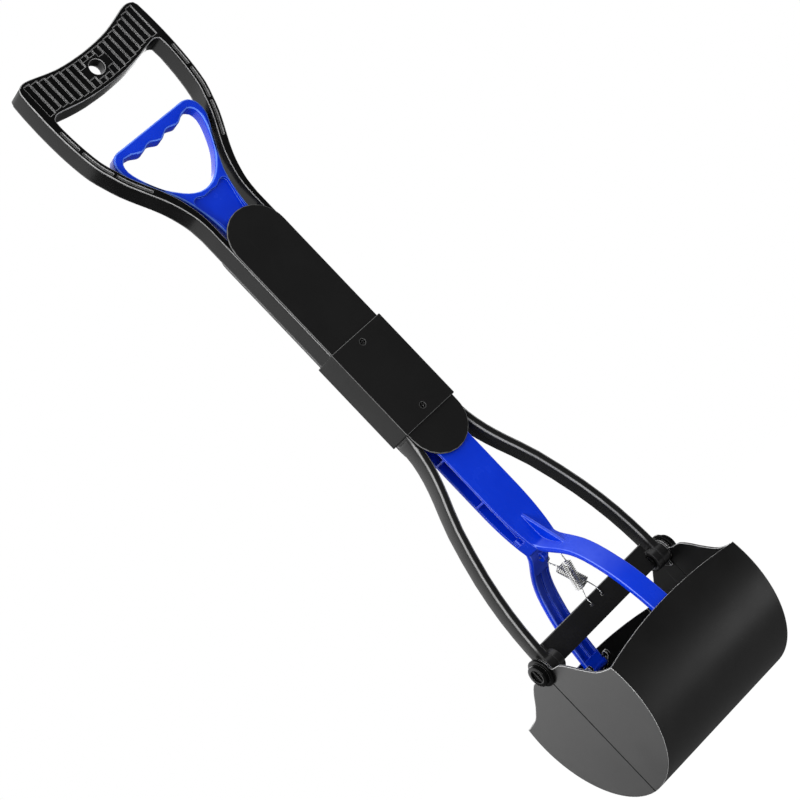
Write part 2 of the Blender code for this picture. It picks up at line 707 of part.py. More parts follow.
def rod_channels(top, bottom, half_width_at):
    """Pockets along both sides of a rod, one bay after another, with a cross rib between bays."""
    bays = max(1, round((top - bottom) / CHANNEL_BAY))
    bay = (top - bottom - CHANNEL_RIB * (bays - 1)) / bays
    half = ROD_HALF_DEPTH - CHANNEL_WALL
    bm = bmesh.new()
    for i in range(bays):
        high = top - i * (bay + CHANNEL_RIB)
        reach = half_width_at(high) + CUT_OVERRUN
        for side in (-1, 1):
            ends = (side * CHANNEL_WEB, side * reach)
            add_box(bm, (min(ends), -half, high - bay), (max(ends), half, high))
    return bm


def knuckle_cuts(target, pin_z, direction):
    """Turns a rod's end into two prongs round its pin."""
    reach = KNUCKLE_RADIUS + CUT_OVERRUN
    deep = ROD_HALF_DEPTH + CUT_OVERRUN
    root = pin_z - direction * (ROD_LINK_RADIUS + GAP + ROD_LINK_RADIUS / 4)
    slot = bmesh.new()
    ends = sorted((root, pin_z + direction * reach))
    add_box(slot, (-KNUCKLE_SLOT / 2, -deep, ends[0]), (KNUCKLE_SLOT / 2, deep, ends[1]))
    boolean(target, slot, "DIFFERENCE")
    outline = [(deep, pin_z), *arc((0, pin_z), KNUCKLE_RADIUS, 0, 180 * direction), (-deep, pin_z)]
    outline += [(-deep, pin_z + direction * reach), (deep, pin_z + direction * reach)]
    wide = ROD_HALF_WIDTH + CUT_OVERRUN
    boolean(target, stand_between(outline, "X", -wide, wide), "DIFFERENCE")
    boolean(target, pin_hole((0, pin_z), ROD_PIN_RADIUS + GAP, wide), "DIFFERENCE")


def handle_half_width():
    """The handle is as wide as the grip frame's opening allows where the handle is widest."""
    z = HANDLE_TOP_Z - HANDLE_LENGTH * HANDLE_WIDEST_share
    inside = [point for point in grip_opening_curve() if point[1] < -GRIP_BOTTOM]
    x = height_at([(-z, x) for x, z in inside], -z)
    return x - HANDLE_SIDE_CLEARANCE


def scallops():
    """The wavy edge for the fingers, as shares: a ridge in the middle, then hollow, ridge and hollow."""
    points = []
    for i in range(SCALLOP_STEPS + 1):
        waves = 3 / 2 * i / SCALLOP_STEPS
        across = waves * SCALLOP_PITCH_share
        drop = SCALLOP_MIDDLE_share - SCALLOP_RISE_share * across
        points.append((across, drop + SCALLOP_HEIGHT_share * math.cos(2 * math.pi * waves)))
    return points


def half_handle_outline():
    """The right half of the handle and its rod, with the finger opening, as (x, z)."""
    widest = handle_half_width()
    reach = widest - ROD_HALF_WIDTH
    outer = [(0, HANDLE_TOP_Z)] + [
        (ROD_HALF_WIDTH + reach * w, HANDLE_TOP_Z - HANDLE_LENGTH * drop) for w, drop in HANDLE_OUTLINE_shares
    ]
    rod_end = UPPER_PIN_Z - KNUCKLE_RADIUS
    opening = [
        ((widest - HANDLE_BAR) * w, HANDLE_TOP_Z - HANDLE_OPENING_DEPTH * drop)
        for w, drop in scallops() + smooth_curve(HANDLE_OPENING_shares)
    ]
    return smooth_curve(outer) + [(ROD_HALF_WIDTH, rod_end), (0, rod_end)] + opening[::-1]


def stem_recess():
    """The sunk panels on the front and back of the stem, which run down under the covers."""
    top = HANDLE_TOP_Z - HANDLE_OPENING_DEPTH - STEM_RECESS_WALL
    side = smooth_curve([
        (ROD_HALF_WIDTH * w, top - STEM_RECESS_LENGTH * drop) for w, drop in STEM_RECESS_shares
    ])
    outline = side + [(-x, z) for x, z in side[:0:-1]]
    bm = bmesh.new()
    for face in (-1, 1):
        ends = (face * (HANDLE_HALF_DEPTH - STEM_RECESS_DEPTH), face * (HANDLE_HALF_DEPTH + CUT_OVERRUN))
        add_prism(bm, outline, "Y", min(ends), max(ends))
    return bm


def thick_rod():
    """The part of the rod inside the body, which fills the room between the covers' rails."""
    top = HANDLE_TOP_Z - HANDLE_OPENING_DEPTH - STEM_RECESS_WALL - STEM_RECESS_LENGTH
    rod = bmesh.new()
    low = (-ROD_HALF_WIDTH, -ROD_HALF_DEPTH, UPPER_PIN_Z - KNUCKLE_RADIUS)
    add_box(rod, low, (ROD_HALF_WIDTH, ROD_HALF_DEPTH, top))
    return rod


def make_pull_handle(look):
    """The D handle with its finger scallops, its stem and the upper rod, down to the fold."""
    bm = bmesh.new()
    add_prism(bm, half_handle_outline(), "Y", -HANDLE_HALF_DEPTH, HANDLE_HALF_DEPTH, open_at_middle=True)
    handle = finish("pull_handle", bm, look)
    mirror_halves(handle)
    round_edges(handle, HANDLE_ROUNDING)
    boolean(handle, stem_recess(), "DIFFERENCE")
    boolean(handle, thick_rod(), "UNION")
    top = HANDLE_TOP_Z - HANDLE_LENGTH - STEM_RECESS_LENGTH / 2
    bottom = UPPER_PIN_Z + KNUCKLE_RADIUS + CHANNEL_RIB
    boolean(handle, rod_channels(top, bottom, lambda z: ROD_HALF_WIDTH), "DIFFERENCE")
    knuckle_cuts(handle, UPPER_PIN_Z, -1)
    return handle


def stadium(radius, top_z, bottom_z):
    return arc((0, top_z), radius, 0, 180) + arc((0, bottom_z), radius, 180, 360)


def make_fold_link(name, look, side):
    """The side plate that joins an upper lug to a lower one."""
    ends = (side * LINK_INSIDE, side * LINK_OUTSIDE)
    outline = stadium(LUG_RADIUS - LINK_MARGIN, UPPER_PIN_Z, LOWER_PIN_Z)
    bm = bmesh.new()
    add_prism(bm, outline, "X", min(ends), max(ends))
    link = finish(name, bm, look, (0, 0, UPPER_PIN_Z))
    for z in (UPPER_PIN_Z, LOWER_PIN_Z):
        boolean(link, pin_hole((0, z), PIN_HOLE_RADIUS, BODY_HALF), "DIFFERENCE")
    return link


def make_fold_pin(name, look, side, z):
    """A rivet: its head inside the link, its shank flush with the lug."""
    head_end = LINK_INSIDE - GAP - PIN_HEAD_LENGTH
    profile = [
        (head_end, 0), (head_end, PIN_HEAD_RADIUS), (LINK_INSIDE - GAP, PIN_HEAD_RADIUS),
        (LINK_INSIDE - GAP, PIN_RADIUS), (BODY_HALF, PIN_RADIUS), (BODY_HALF, 0),
    ]
    bm = bmesh.new()
    add_revolve(bm, profile, (0, z), side)
    return finish(name, bm, look, (0, 0, z))


def make_rod_link(look):
    """The short blue link between the two rods, which slides and folds with them."""
    half = ROD_LINK_WIDTH / 2
    bm = bmesh.new()
    add_prism(bm, stadium(ROD_LINK_RADIUS, UPPER_PIN_Z, LOWER_PIN_Z), "X", -half, half)
    link = finish("rod_link", bm, look, (0, 0, UPPER_PIN_Z))
    for z in (UPPER_PIN_Z, LOWER_PIN_Z):
        boolean(link, pin_hole((0, z), ROD_PIN_RADIUS + GAP, ROD_HALF_WIDTH), "DIFFERENCE")
    return link


def make_cross_pin(name, look, place, radius, half_length):
    bm = bmesh.new()
    add_prism(bm, circle(place, radius), "X", -half_length, half_length)
    return finish(name, bm, look, (0, *place))


def lower_arm_path():
    """The line that the right-hand arm follows, as (x, z), from below the sleeve to the pivot."""
    start_x = BODY_HALF - BODY_WALL / 2
    length = ARM_BAR_TOP_Z - PIVOT_Z
    return smooth_curve([
        (start_x + (ARM_EYE_X - start_x) * w, ARM_BAR_TOP_Z - length * drop) for w, drop in LOWER_ARM_shares
    ])


def rounded_ring(half_u, half_v, rounding):
    """The corners of a rectangle, each cut to two points, going round."""
    return [
        (half_u, half_v - rounding), (half_u - rounding, half_v), (rounding - half_u, half_v),
        (-half_u, half_v - rounding), (-half_u, rounding - half_v), (rounding - half_u, -half_v),
        (half_u - rounding, -half_v), (half_u, rounding - half_v),
    ]


def make_lower_arm(name, look, side):
    """A curved side arm: a lug at the fold, a bowed bar and an eye on the jaw pivot."""
    outer, inner = BODY_HALF, WALL_INSIDE
    lug = [*arc((0, LOWER_PIN_Z), LUG_RADIUS, 0, 180)]
    foot = ARM_BAR_TOP_Z - ARM_BAR_WIDTH
    lug += [(-ARM_BAR_TOP_DEPTH / 2, foot), (ARM_BAR_TOP_DEPTH / 2, foot)]
    ends = (side * inner, side * outer)
    bm = bmesh.new()
    add_prism(bm, lug, "X", min(ends), max(ends))
    arm = finish(name, bm, look, (0, 0, LOWER_PIN_Z))
    path = lower_arm_path()
    rings = []
    for i, (x, z) in enumerate(path):
        along = (Vector(path[min(i + 1, len(path) - 1)]) - Vector(path[max(i - 1, 0)])).normalized()
        share = i / (len(path) - 1)
        depth = ARM_BAR_TOP_DEPTH + (ARM_BAR_END_DEPTH - ARM_BAR_TOP_DEPTH) * share
        if i == 0:
            along = Vector((0, -1))
        ring = rounded_ring(ARM_BAR_WIDTH / 2, depth / 2, ARM_BAR_ROUNDING)
        rings.append([(side * (x - along.y * u), v, z + along.x * u) for u, v in ring])
    bar = bmesh.new()
    add_loft(bar, rings)
    boolean(arm, bar, "UNION")
    eye_ends = (side * ARM_EYE_INSIDE, side * ARM_EYE_OUTSIDE)
    eye = stand_between(circle((0, PIVOT_Z), ARM_EYE_RADIUS), "X", min(eye_ends), max(eye_ends))
    boolean(arm, eye, "UNION")
    boolean(arm, pin_hole((0, LOWER_PIN_Z), PIN_HOLE_RADIUS, BODY_HALF + CUT_OVERRUN), "DIFFERENCE")
    boolean(arm, pin_hole((0, PIVOT_Z), PIVOT_PIN_RADIUS + GAP, JAW_HALF_WIDTH), "DIFFERENCE")
    return arm


def make_crossbar(look):
    """The flat bar between the arms, with a hub at each end and two holes for the springs."""
    front = -CROSSBAR_SETBACK
    top, bottom = CROSSBAR_TOP_Z, CROSSBAR_TOP_Z - CROSSBAR_HEIGHT
    bm = bmesh.new()
    inside = HUB_INSIDE + CROSSBAR_HUB_LENGTH / 2
    add_box(bm, (-inside, front, bottom), (inside, front + CROSSBAR_THICKNESS, top))
    bar = finish("crossbar", bm, look)
    round_edges(bar, COVER_ROUNDING, segments=1)
    for side in (-1, 1):
        ends = (side * HUB_INSIDE, side * HUB_OUTSIDE)
        hub = stand_between(circle((0, PIVOT_Z), CROSSBAR_HUB_RADIUS), "X", min(ends), max(ends))
        boolean(bar, hub, "UNION")
    boolean(bar, pivot_bores(), "DIFFERENCE")
    holes = bmesh.new()
    for x in (-SPRING_HOLE_X, SPRING_HOLE_X):
        ring = circle((x, SPRING_HOLE_Z), SPRING_HOLE_RADIUS)
        add_prism(holes, ring, "Y", front - CUT_OVERRUN, front + CROSSBAR_THICKNESS + CUT_OVERRUN)
    boolean(bar, holes, "DIFFERENCE")
    return bar


def pivot_bores():
    """The room for both pivot pins, with a pocket for each pin's head."""
    pocket = PIVOT_HEAD_RADIUS + GAP
    bore = PIVOT_PIN_RADIUS + GAP
    head_end = HUB_INSIDE - PIVOT_HEAD_LENGTH - GAP
    seat = HUB_INSIDE + GAP
    profile = [
        (head_end, 0), (head_end, pocket), (seat, pocket), (seat, bore),
        (JAW_HALF_WIDTH + CUT_OVERRUN, bore), (JAW_HALF_WIDTH + CUT_OVERRUN, 0),
    ]
    bm = bmesh.new()
    for side in (-1, 1):
        add_revolve(bm, profile, (0, PIVOT_Z), side)
    return bm


def cap_bore_end():
    return JAW_HALF_WIDTH + GAP + CAP_BORE_DEPTH


def make_pivot_pin(name, look, side):
    """The pin through the crossbar's hub, the arm's eye and both jaws' ears, into the cap."""
    head_end = HUB_INSIDE - PIVOT_HEAD_LENGTH
    end = cap_bore_end() - GAP
    profile = [
        (head_end, 0), (head_end, PIVOT_HEAD_RADIUS), (HUB_INSIDE, PIVOT_HEAD_RADIUS),
        (HUB_INSIDE, PIVOT_PIN_RADIUS), (end, PIVOT_PIN_RADIUS), (end, 0),
    ]
    bm = bmesh.new()
    add_revolve(bm, profile, (0, PIVOT_Z), side)
    return finish(name, bm, look, (0, 0, PIVOT_Z))


def make_pivot_cap(name, look, side):
    """The round cap outside each pivot: a flange, a crown and a dish with one bar across it."""
    back = JAW_HALF_WIDTH + GAP
    front = back + CAP_THICKNESS
    floor = front - CAP_DISH_DEPTH
    bore = PIVOT_PIN_RADIUS + GAP
    edge = CAP_FLANGE / 4
    profile = [
        (cap_bore_end(), 0), (cap_bore_end(), bore), (back, bore), (back, CAP_RADIUS),
        (back + CAP_FLANGE - edge, CAP_RADIUS), (back + CAP_FLANGE, CAP_RADIUS - edge),
        (back + CAP_FLANGE, CAP_CROWN_RADIUS),
        (front - edge, CAP_CROWN_RADIUS), (front, CAP_CROWN_RADIUS - edge),
        (front, CAP_DISH_RADIUS), (floor, CAP_DISH_RADIUS - edge), (floor, 0),
    ]
    bm = bmesh.new()
    add_revolve(bm, profile, (0, PIVOT_Z), side)
    cap = finish(name, bm, look, (0, 0, PIVOT_Z))
    half = CAP_BAR / 2
    ends = sorted((side * (floor - edge), side * (front - edge)))
    bar = bmesh.new()
    add_box(bar, (ends[0], -half, PIVOT_Z - CAP_DISH_RADIUS), (ends[1], half, PIVOT_Z + CAP_DISH_RADIUS))
    boolean(cap, bar, "UNION")
    return cap


# The fork's curves
def fork_arm_path():
    """The middle of the rear ribbon, as (y, z), from inside the rod to the eye."""
    drop = CROTCH_Z - FORK_PIN_Z
    return smooth_curve([(FORK_PIN_Y * w, CROTCH_Z - drop * d) for w, d in FORK_ARM_shares])


def rod_half_width_at(z):
    """The lower rod narrows towards the crotch."""
    curve = [(ROD_TAPER_TOP_Z - ROD_TAPER_LENGTH * d, ROD_HALF_WIDTH * w) for w, d in ROD_TAPER_shares]
    return ROD_HALF_WIDTH if z >= curve[0][0] else height_at(curve, z)


def rod_outline():
    top = LOWER_PIN_Z + KNUCKLE_RADIUS
    side = smooth_curve([
        (ROD_HALF_WIDTH * w, ROD_TAPER_TOP_Z - ROD_TAPER_LENGTH * drop) for w, drop in ROD_TAPER_shares
    ])
    right = [(ROD_HALF_WIDTH, top), *side]
    return right + [(-x, z) for x, z in right[::-1]]


def fork_ribbon(side):
    """One curved arm, wide where it leaves the rod and an even ribbon after that."""
    path = fork_arm_path()
    bm = bmesh.new()
    rings = []
    for i, (y, z) in enumerate(path):
        along = (Vector(path[min(i + 1, len(path) - 1)]) - Vector(path[max(i - 1, 0)])).normalized()
        share = min(i / (len(path) / 2), 1)
        flare = FORK_SHOULDER_share + (1 - FORK_SHOULDER_share) * math.sin(share * math.pi / 2)
        half = FORK_RIBBON_WIDTH / 2 * flare
        ring = rounded_ring(half, FORK_RIBBON_THICKNESS / 2, FORK_RIBBON_THICKNESS / 5)
        rings.append([(u, side * (y + along.y * v), z - along.x * v) for u, v in ring])
    add_loft(bm, rings)
    return bm


def add_fork_channels(bm, side):
    """Two channels down the inner face of a ribbon, with a rib left between them."""
    path = fork_arm_path()
    run = path[round(len(path) * FORK_CHANNEL_START_share):round(len(path) * FORK_CHANNEL_END_share)]
    surface = FORK_RIBBON_THICKNESS / 2
    floor = offset(run, [surface - FORK_CHANNEL_DEPTH] * len(run))
    open_side = offset(run, [surface + CUT_OVERRUN] * len(run))
    outline = [(side * y, z) for y, z in floor + open_side[::-1]]
    near, far = FORK_CHANNEL_RIB / 2, FORK_RIBBON_WIDTH / 2 - FORK_CHANNEL_RIM
    for across in (-1, 1):
        add_prism(bm, outline, "X", min(across * near, across * far), max(across * near, across * far))


def fork_eye(side):
    return stand_between(
        circle((side * FORK_PIN_Y, FORK_PIN_Z), FORK_EYE_RADIUS), "X", -FORK_RIBBON_WIDTH / 2, FORK_RIBBON_WIDTH / 2
    )


def fork_gusset(side):
    """The thin fin in the bend between the rod's face and a ribbon."""
    path = fork_arm_path()
    end = path[round((len(path) - 1) * GUSSET_END_share)]
    top = CROTCH_Z + GUSSET_TOP_ABOVE_CROTCH
    middle = path[round((len(path) - 1) * GUSSET_END_share / 2)]
    inside = ROD_HALF_DEPTH / 2
    outline = [(inside, top), (ROD_HALF_DEPTH + GAP, top), end, middle, (inside, CROTCH_Z)]
    half = GUSSET_THICKNESS / 2
    return stand_between([(side * y, z) for y, z in outline], "X", -half, half)


def spring_boss(side):
    half = BOSS_THICKNESS / 2
    return stand_between(circle((side * BOSS_Y, BOSS_Z), BOSS_RADIUS), "X", -half, half)


def make_fork(look):
    """The lower rod, its two ribbons with an eye each, two fins and two spring bosses."""
    bm = bmesh.new()
    add_prism(bm, rod_outline(), "Y", -ROD_HALF_DEPTH, ROD_HALF_DEPTH)
    fork = finish("fork", bm, look, (0, 0, LOWER_PIN_Z))
    bottom = CROTCH_Z + ROD_HALF_DEPTH + CHANNEL_RIB
    channels_top = LOWER_PIN_Z - KNUCKLE_RADIUS - CHANNEL_RIB
    boolean(fork, rod_channels(channels_top, bottom, rod_half_width_at), "DIFFERENCE")
    for side in (-1, 1):
        boolean(fork, fork_ribbon(side), "UNION")
        boolean(fork, fork_eye(side), "UNION")
        boolean(fork, fork_gusset(side), "UNION")
        channels = bmesh.new()
        add_fork_channels(channels, side)
        boolean(fork, channels, "DIFFERENCE")
        boolean(fork, spring_boss(side), "UNION")
        eye = (side * FORK_PIN_Y, FORK_PIN_Z)
        boolean(fork, pin_hole(eye, FORK_PIN_RADIUS + GAP, FORK_RIBBON_WIDTH), "DIFFERENCE")
        boolean(fork, pin_hole((side * BOSS_Y, BOSS_Z), BOSS_HOLE_RADIUS, FORK_RIBBON_WIDTH), "DIFFERENCE")
    knuckle_cuts(fork, LOWER_PIN_Z, 1)
    return fork


# The jaws' curves, drawn for the rear jaw, as (y, z)
def jaw_top_edge():
    """From the hub to the rim corner."""
    rim = rim_corner()
    return smooth_curve([(rim[0] * w, PIVOT_Z - JAW_RIM_DROP * d) for w, d in JAW_TOP_shares])


def rim_corner():
    above = JAW_CENTRE_BELOW_PIVOT - JAW_RIM_DROP
    return math.sqrt(JAW_RADIUS ** 2 - above ** 2), PIVOT_Z - JAW_RIM_DROP


def jaw_arc(radius):
    """From over the rim's arch down to the seam, short of it by half a gap."""
    above = JAW_CENTRE_BELOW_PIVOT - JAW_RIM_DROP + RIM_ARCH + JAW_WALL
    start = math.degrees(math.asin(above / JAW_RADIUS))
    end = -90 + math.degrees(math.asin(GAP / 2 / radius))
    return arc((0, JAW_CENTRE_Z), radius, start, end, SHELL_FINENESS)


def jaw_outside(ear_radius):
    """The top edge from the ear out, the strip that the rim's arch is cut from, and the shell."""
    foot_z = rim_corner()[1]
    inner = JAW_RADIUS - JAW_WALL
    foot = (math.sqrt(inner ** 2 - (foot_z - JAW_CENTRE_Z) ** 2), foot_z)
    edge = [point for point in jaw_top_edge() if ear_radius + GAP < math.hypot(point[0], point[1] - PIVOT_Z)]
    edge = [point for point in edge if point[0] < foot[0] - GAP]
    return edge + [foot, jaw_arc(inner)[0]] + jaw_arc(JAW_RADIUS)


def above_rim():
    """What is cut off over a jaw's rim, which is arched between the end plates, as (x, z)."""
    low = rim_corner()[1]
    high = low + RIM_ARCH + JAW_WALL + CUT_OVERRUN
    side = JAW_HALF_WIDTH + CUT_OVERRUN
    shares = [2 * i / RIM_ARCH_STEPS - 1 for i in range(RIM_ARCH_STEPS + 1)]
    arch = [(JAW_PLATE_INSIDE * share, low + RIM_ARCH * (1 - share ** 2)) for share in shares]
    return [(-side, high), (-side, low), *arch, (side, low), (side, high)]


def rear_jaw_outline():
    """The outer shape of the rear jaw: it clears the front jaw's ear round the hub."""
    radius = JAW_EAR_RADIUS + GAP
    edge = jaw_top_edge()
    start = math.degrees(math.atan2(edge[0][1] - PIVOT_Z, edge[0][0]))
    hub = arc((0, PIVOT_Z), radius, -90 + math.degrees(math.asin(GAP / 2 / radius)), start)
    return hub + jaw_outside(radius)


def front_jaw_outline():
    """As the rear jaw's outer shape, mirrored later, but with a round ear on the hub."""
    edge = jaw_top_edge()
    start = math.degrees(math.atan2(edge[0][1] - PIVOT_Z, edge[0][0]))
    parting = math.degrees(math.asin(GAP / 2 / JAW_EAR_RADIUS))
    ear = arc((0, PIVOT_Z), JAW_EAR_RADIUS, -90 + parting, start - 360)
    return ear + jaw_outside(JAW_EAR_RADIUS)


def jaw_hollow():
    """What is taken out between the end plates: all of the inside, and the open top and seam."""
    inner = jaw_arc(JAW_RADIUS - JAW_WALL)
    over = CUT_OVERRUN + JAW_EAR_RADIUS
    high = PIVOT_Z + JAW_EAR_RADIUS + CUT_OVERRUN
    outline = [(-over, high), (inner[0][0], high), *inner, (-over, inner[-1][1])]
    return outline


def slot():
    """A straight slot, wide enough for the slightly curved path of the fork's pin across an opening jaw.

    It gives the slot's direction from the pivot, its nearest and farthest reach, and its half width.
    """
    shares = [i / SLOT_STEPS for i in range(SLOT_STEPS + 1)]
    rises = [PULL_TRAVEL * share - FORK_PIN_BELOW_PIVOT for share in shares]
    reaches = [math.hypot(FORK_PIN_Y, rise) for rise in rises]
    angles = [math.atan2(rise, FORK_PIN_Y) - JAW_TURN * share for rise, share in zip(rises, shares)]
    half = FORK_PIN_RADIUS + GAP + max(reaches) * (max(angles) - min(angles)) / 2
    return (min(angles) + max(angles)) / 2, min(reaches), max(reaches), half


def at_reach(heading, reach):
    return reach * math.cos(heading), PIVOT_Z + reach * math.sin(heading)


def slot_outline():
    heading, near, far, half = slot()
    across = math.degrees(heading)
    ends = arc(at_reach(heading, far), half, across - 90, across + 90)
    return ends + arc(at_reach(heading, near), half, across + 90, across + 270)


def jaw_lug_outline():
    """An ear inside the rim, with an even wall round the slot, rooted in the middle of the shell."""
    heading, near, far, half = slot()
    half += JAW_LUG_WALL
    across = math.degrees(heading)
    nose = arc(at_reach(heading, near), half, across + 90, across + 270)
    middle = JAW_RADIUS - JAW_WALL / 2
    roots = []
    for side in (-1, 1):
        y, z = at_reach(heading, far)
        foot = (y - side * half * math.sin(heading), z + side * half * math.cos(heading))
        along = (math.cos(heading), math.sin(heading))
        from_centre = (foot[0], foot[1] - JAW_CENTRE_Z)
        forward = from_centre[0] * along[0] + from_centre[1] * along[1]
        aside = from_centre[0] ** 2 + from_centre[1] ** 2 - forward ** 2
        go = math.sqrt(middle ** 2 - aside) - forward
        roots.append((foot[0] + along[0] * go, foot[1] + along[1] * go))
    return nose + roots


def make_jaw(name, look, side):
    """Half of the clamshell: a curved shell between two end plates, with ears on the hub and inside the rim.

    side is 1 for the rear jaw and -1 for the front one.
    """
    rear = side > 0
    outline = rear_jaw_outline() if rear else front_jaw_outline()
    bm = bmesh.new()
    add_prism(bm, [(side * y, z) for y, z in outline], "X", -JAW_HALF_WIDTH, JAW_HALF_WIDTH)
    jaw = finish(name, bm, look, (0, 0, PIVOT_Z))
    hollow = [(side * y, z) for y, z in jaw_hollow()]
    boolean(jaw, stand_between(hollow, "X", -JAW_PLATE_INSIDE, JAW_PLATE_INSIDE), "DIFFERENCE")
    ends = (side * (jaw_arc(JAW_RADIUS - JAW_WALL)[0][0] - GAP), side * (JAW_RADIUS + CUT_OVERRUN))
    boolean(jaw, stand_between(above_rim(), "Y", min(ends), max(ends)), "DIFFERENCE")
    if rear:
        add_inner_ears(jaw)
    boolean(jaw, pivot_bores(), "DIFFERENCE")
    for across in (-1, 1):
        near = across * (FORK_RIBBON_WIDTH / 2 + GAP)
        far = near + across * JAW_LUG_THICKNESS
        outline = [(side * y, z) for y, z in jaw_lug_outline()]
        lug = stand_between(outline, "X", min(near, far), max(near, far))
        boolean(jaw, lug, "UNION")
    reach = FORK_RIBBON_WIDTH / 2 + GAP + JAW_LUG_THICKNESS + CUT_OVERRUN
    boolean(jaw, stand_between([(side * y, z) for y, z in slot_outline()], "X", -reach, reach), "DIFFERENCE")
    return jaw


def add_inner_ears(jaw):
    """The rear jaw's ears lie inside the front jaw's, each on a web that steps in from the end plate."""
    web_radius = JAW_EAR_RADIUS + JAW_EAR_WEB
    sector = arc((0, PIVOT_Z), web_radius, JAW_EAR_WEB_START_deg, JAW_EAR_WEB_END_deg)
    ear = arc((0, PIVOT_Z), JAW_EAR_RADIUS, JAW_EAR_WEB_END_deg, 360 + JAW_EAR_WEB_START_deg)
    step = arc((0, PIVOT_Z), JAW_EAR_RADIUS + GAP + GAP, JAW_EAR_WEB_END_deg, JAW_EAR_WEB_START_deg)
    for side in (-1, 1):
        ends = (side * EAR_INSIDE, side * EAR_OUTSIDE)
        boolean(jaw, stand_between(sector + ear, "X", min(ends), max(ends)), "UNION")
        ends = (side * (EAR_INSIDE + JAW_EAR_THICKNESS / 2), side * (JAW_PLATE_INSIDE + JAW_PLATE / 2))
        boolean(jaw, stand_between(sector + step, "X", min(ends), max(ends)), "UNION")


def coil_frame(start, end):
    """Three directions: along the coil, and two square to it."""
    along = (end - start).normalized()
    side = along.cross(Vector((0, 1, 0))).normalized()
    return along, side, along.cross(side)


def coil_points(start, end):
    """A helix centred between two points, drawn in at both of its ends."""
    along, side, other = coil_frame(start, end)
    length = COIL_PITCH * COIL_TURNS
    first = (start + end) / 2 - along * length / 2
    steps = COIL_TURNS * COIL_POINTS
    points = []
    for i in range(steps + 1):
        turn = i / COIL_POINTS
        near_end = min(turn, COIL_TURNS - turn, COIL_TAPER_TURNS) / COIL_TAPER_TURNS
        radius = COIL_END_RADIUS + (COIL_RADIUS - COIL_END_RADIUS) * near_end
        angle = 2 * math.pi * turn
        outwards = side * math.cos(angle) + other * math.sin(angle)
        points.append(first + along * COIL_PITCH * turn + outwards * radius)
    return points


def spring_path(x, y):
    """The wire of one spring: through its boss, down the coil, and through its hole in the crossbar."""
    reach = BOSS_THICKNESS / 2 + WIRE_RADIUS + GAP
    lead = BOSS_RADIUS + WIRE_RADIUS + GAP
    boss = Vector((0, y, BOSS_Z))
    front = -CROSSBAR_SETBACK - GAP - WIRE_RADIUS
    hole = Vector((x, front, SPRING_HOLE_Z))
    hang = boss - Vector((0, 0, lead * 4 / 3))
    land = hole + Vector((0, 0, SPRING_HOLE_FROM_TOP + WIRE_RADIUS))
    coil = coil_points(hang, land)
    hook = [boss + Vector((-reach, 0, 0)), boss, boss + Vector((reach, 0, 0))]
    hook += [boss + Vector((reach, 0, -lead)), hang]
    tail = [land, hole + Vector((0, 0, WIRE_RADIUS * 2)), hole + Vector((0, WIRE_RADIUS * 2, 0))]
    tail += [hole + Vector((0, CROSSBAR_THICKNESS + WIRE_RADIUS * 3, 0))]
    return hook, coil, tail


def least_self_gap(coil):
    """The least distance between neighbouring turns' surfaces, on the coil's points."""
    gap = min(
        (coil[i] - coil[j]).length
        for i in range(len(coil))
        for j in range(i + COIL_POINTS // 2 + 1, min(i + COIL_POINTS * 2, len(coil)))
    )
    return gap - 2 * WIRE_RADIUS


def make_spring(name, look, x, y):
    """One zinc extension spring, a single round wire from hook to hook."""
    hook, coil, tail = spring_path(x, y)
    wire = bpy.data.curves.new(name, "CURVE")
    wire.dimensions = "3D"
    wire.bevel_depth = WIRE_RADIUS
    wire.bevel_resolution = 1
    wire.use_fill_caps = True
    points = hook + coil + tail
    line = wire.splines.new("POLY")
    line.points.add(len(points) - 1)
    for node, point in zip(line.points, points):
        node.co = (*point, 1)
    wire.materials.append(material(name, *look))
    made = bpy.data.objects.new(name, wire)
    bpy.context.scene.collection.objects.link(made)
    print(f"{name}: least gap between turns {least_self_gap(coil) * 1000:.2f} mm")
    return made


def make_upper_half():
    make_grip_frame(BODY_PLASTIC)
    top, square = -NECK_DROP - COVER_PAST_NECK, UPPER_PIN_Z + LUG_RADIUS + GAP
    make_cover("upper_front_cover", COVER_PLASTIC, -1, top, square)
    make_cover("upper_back_cover", COVER_PLASTIC, 1, top, square)
    make_lock_sleeve(COVER_PLASTIC)
    make_sleeve_screw("sleeve_screw_top", DARK_STEEL, SLEEVE_TOP_Z - SCREW_FROM_TOP)
    make_sleeve_screw("sleeve_screw_bottom", DARK_STEEL, SLEEVE_BOTTOM_Z + SCREW_FROM_BOTTOM)


def make_fold():
    for name, side in (("left", -1), ("right", 1)):
        make_fold_link(f"{name}_fold_link", DARK_STEEL, side)
        make_fold_pin(f"upper_{name}_fold_pin", ZINC, side, UPPER_PIN_Z)
        make_fold_pin(f"lower_{name}_fold_pin", ZINC, side, LOWER_PIN_Z)


def make_rods():
    make_pull_handle(BLUE_PLASTIC)
    make_rod_link(BLUE_PLASTIC)
    make_fork(BLUE_PLASTIC)
    make_cross_pin("upper_rod_pin", ZINC, (0, UPPER_PIN_Z), ROD_PIN_RADIUS, ROD_HALF_WIDTH)
    make_cross_pin("lower_rod_pin", ZINC, (0, LOWER_PIN_Z), ROD_PIN_RADIUS, ROD_HALF_WIDTH)
    half = FORK_RIBBON_WIDTH / 2 + GAP + JAW_LUG_THICKNESS + PIN_HEAD_LENGTH / 2
    make_cross_pin("front_fork_pin", ZINC, (-FORK_PIN_Y, FORK_PIN_Z), FORK_PIN_RADIUS, half)
    make_cross_pin("rear_fork_pin", ZINC, (FORK_PIN_Y, FORK_PIN_Z), FORK_PIN_RADIUS, half)


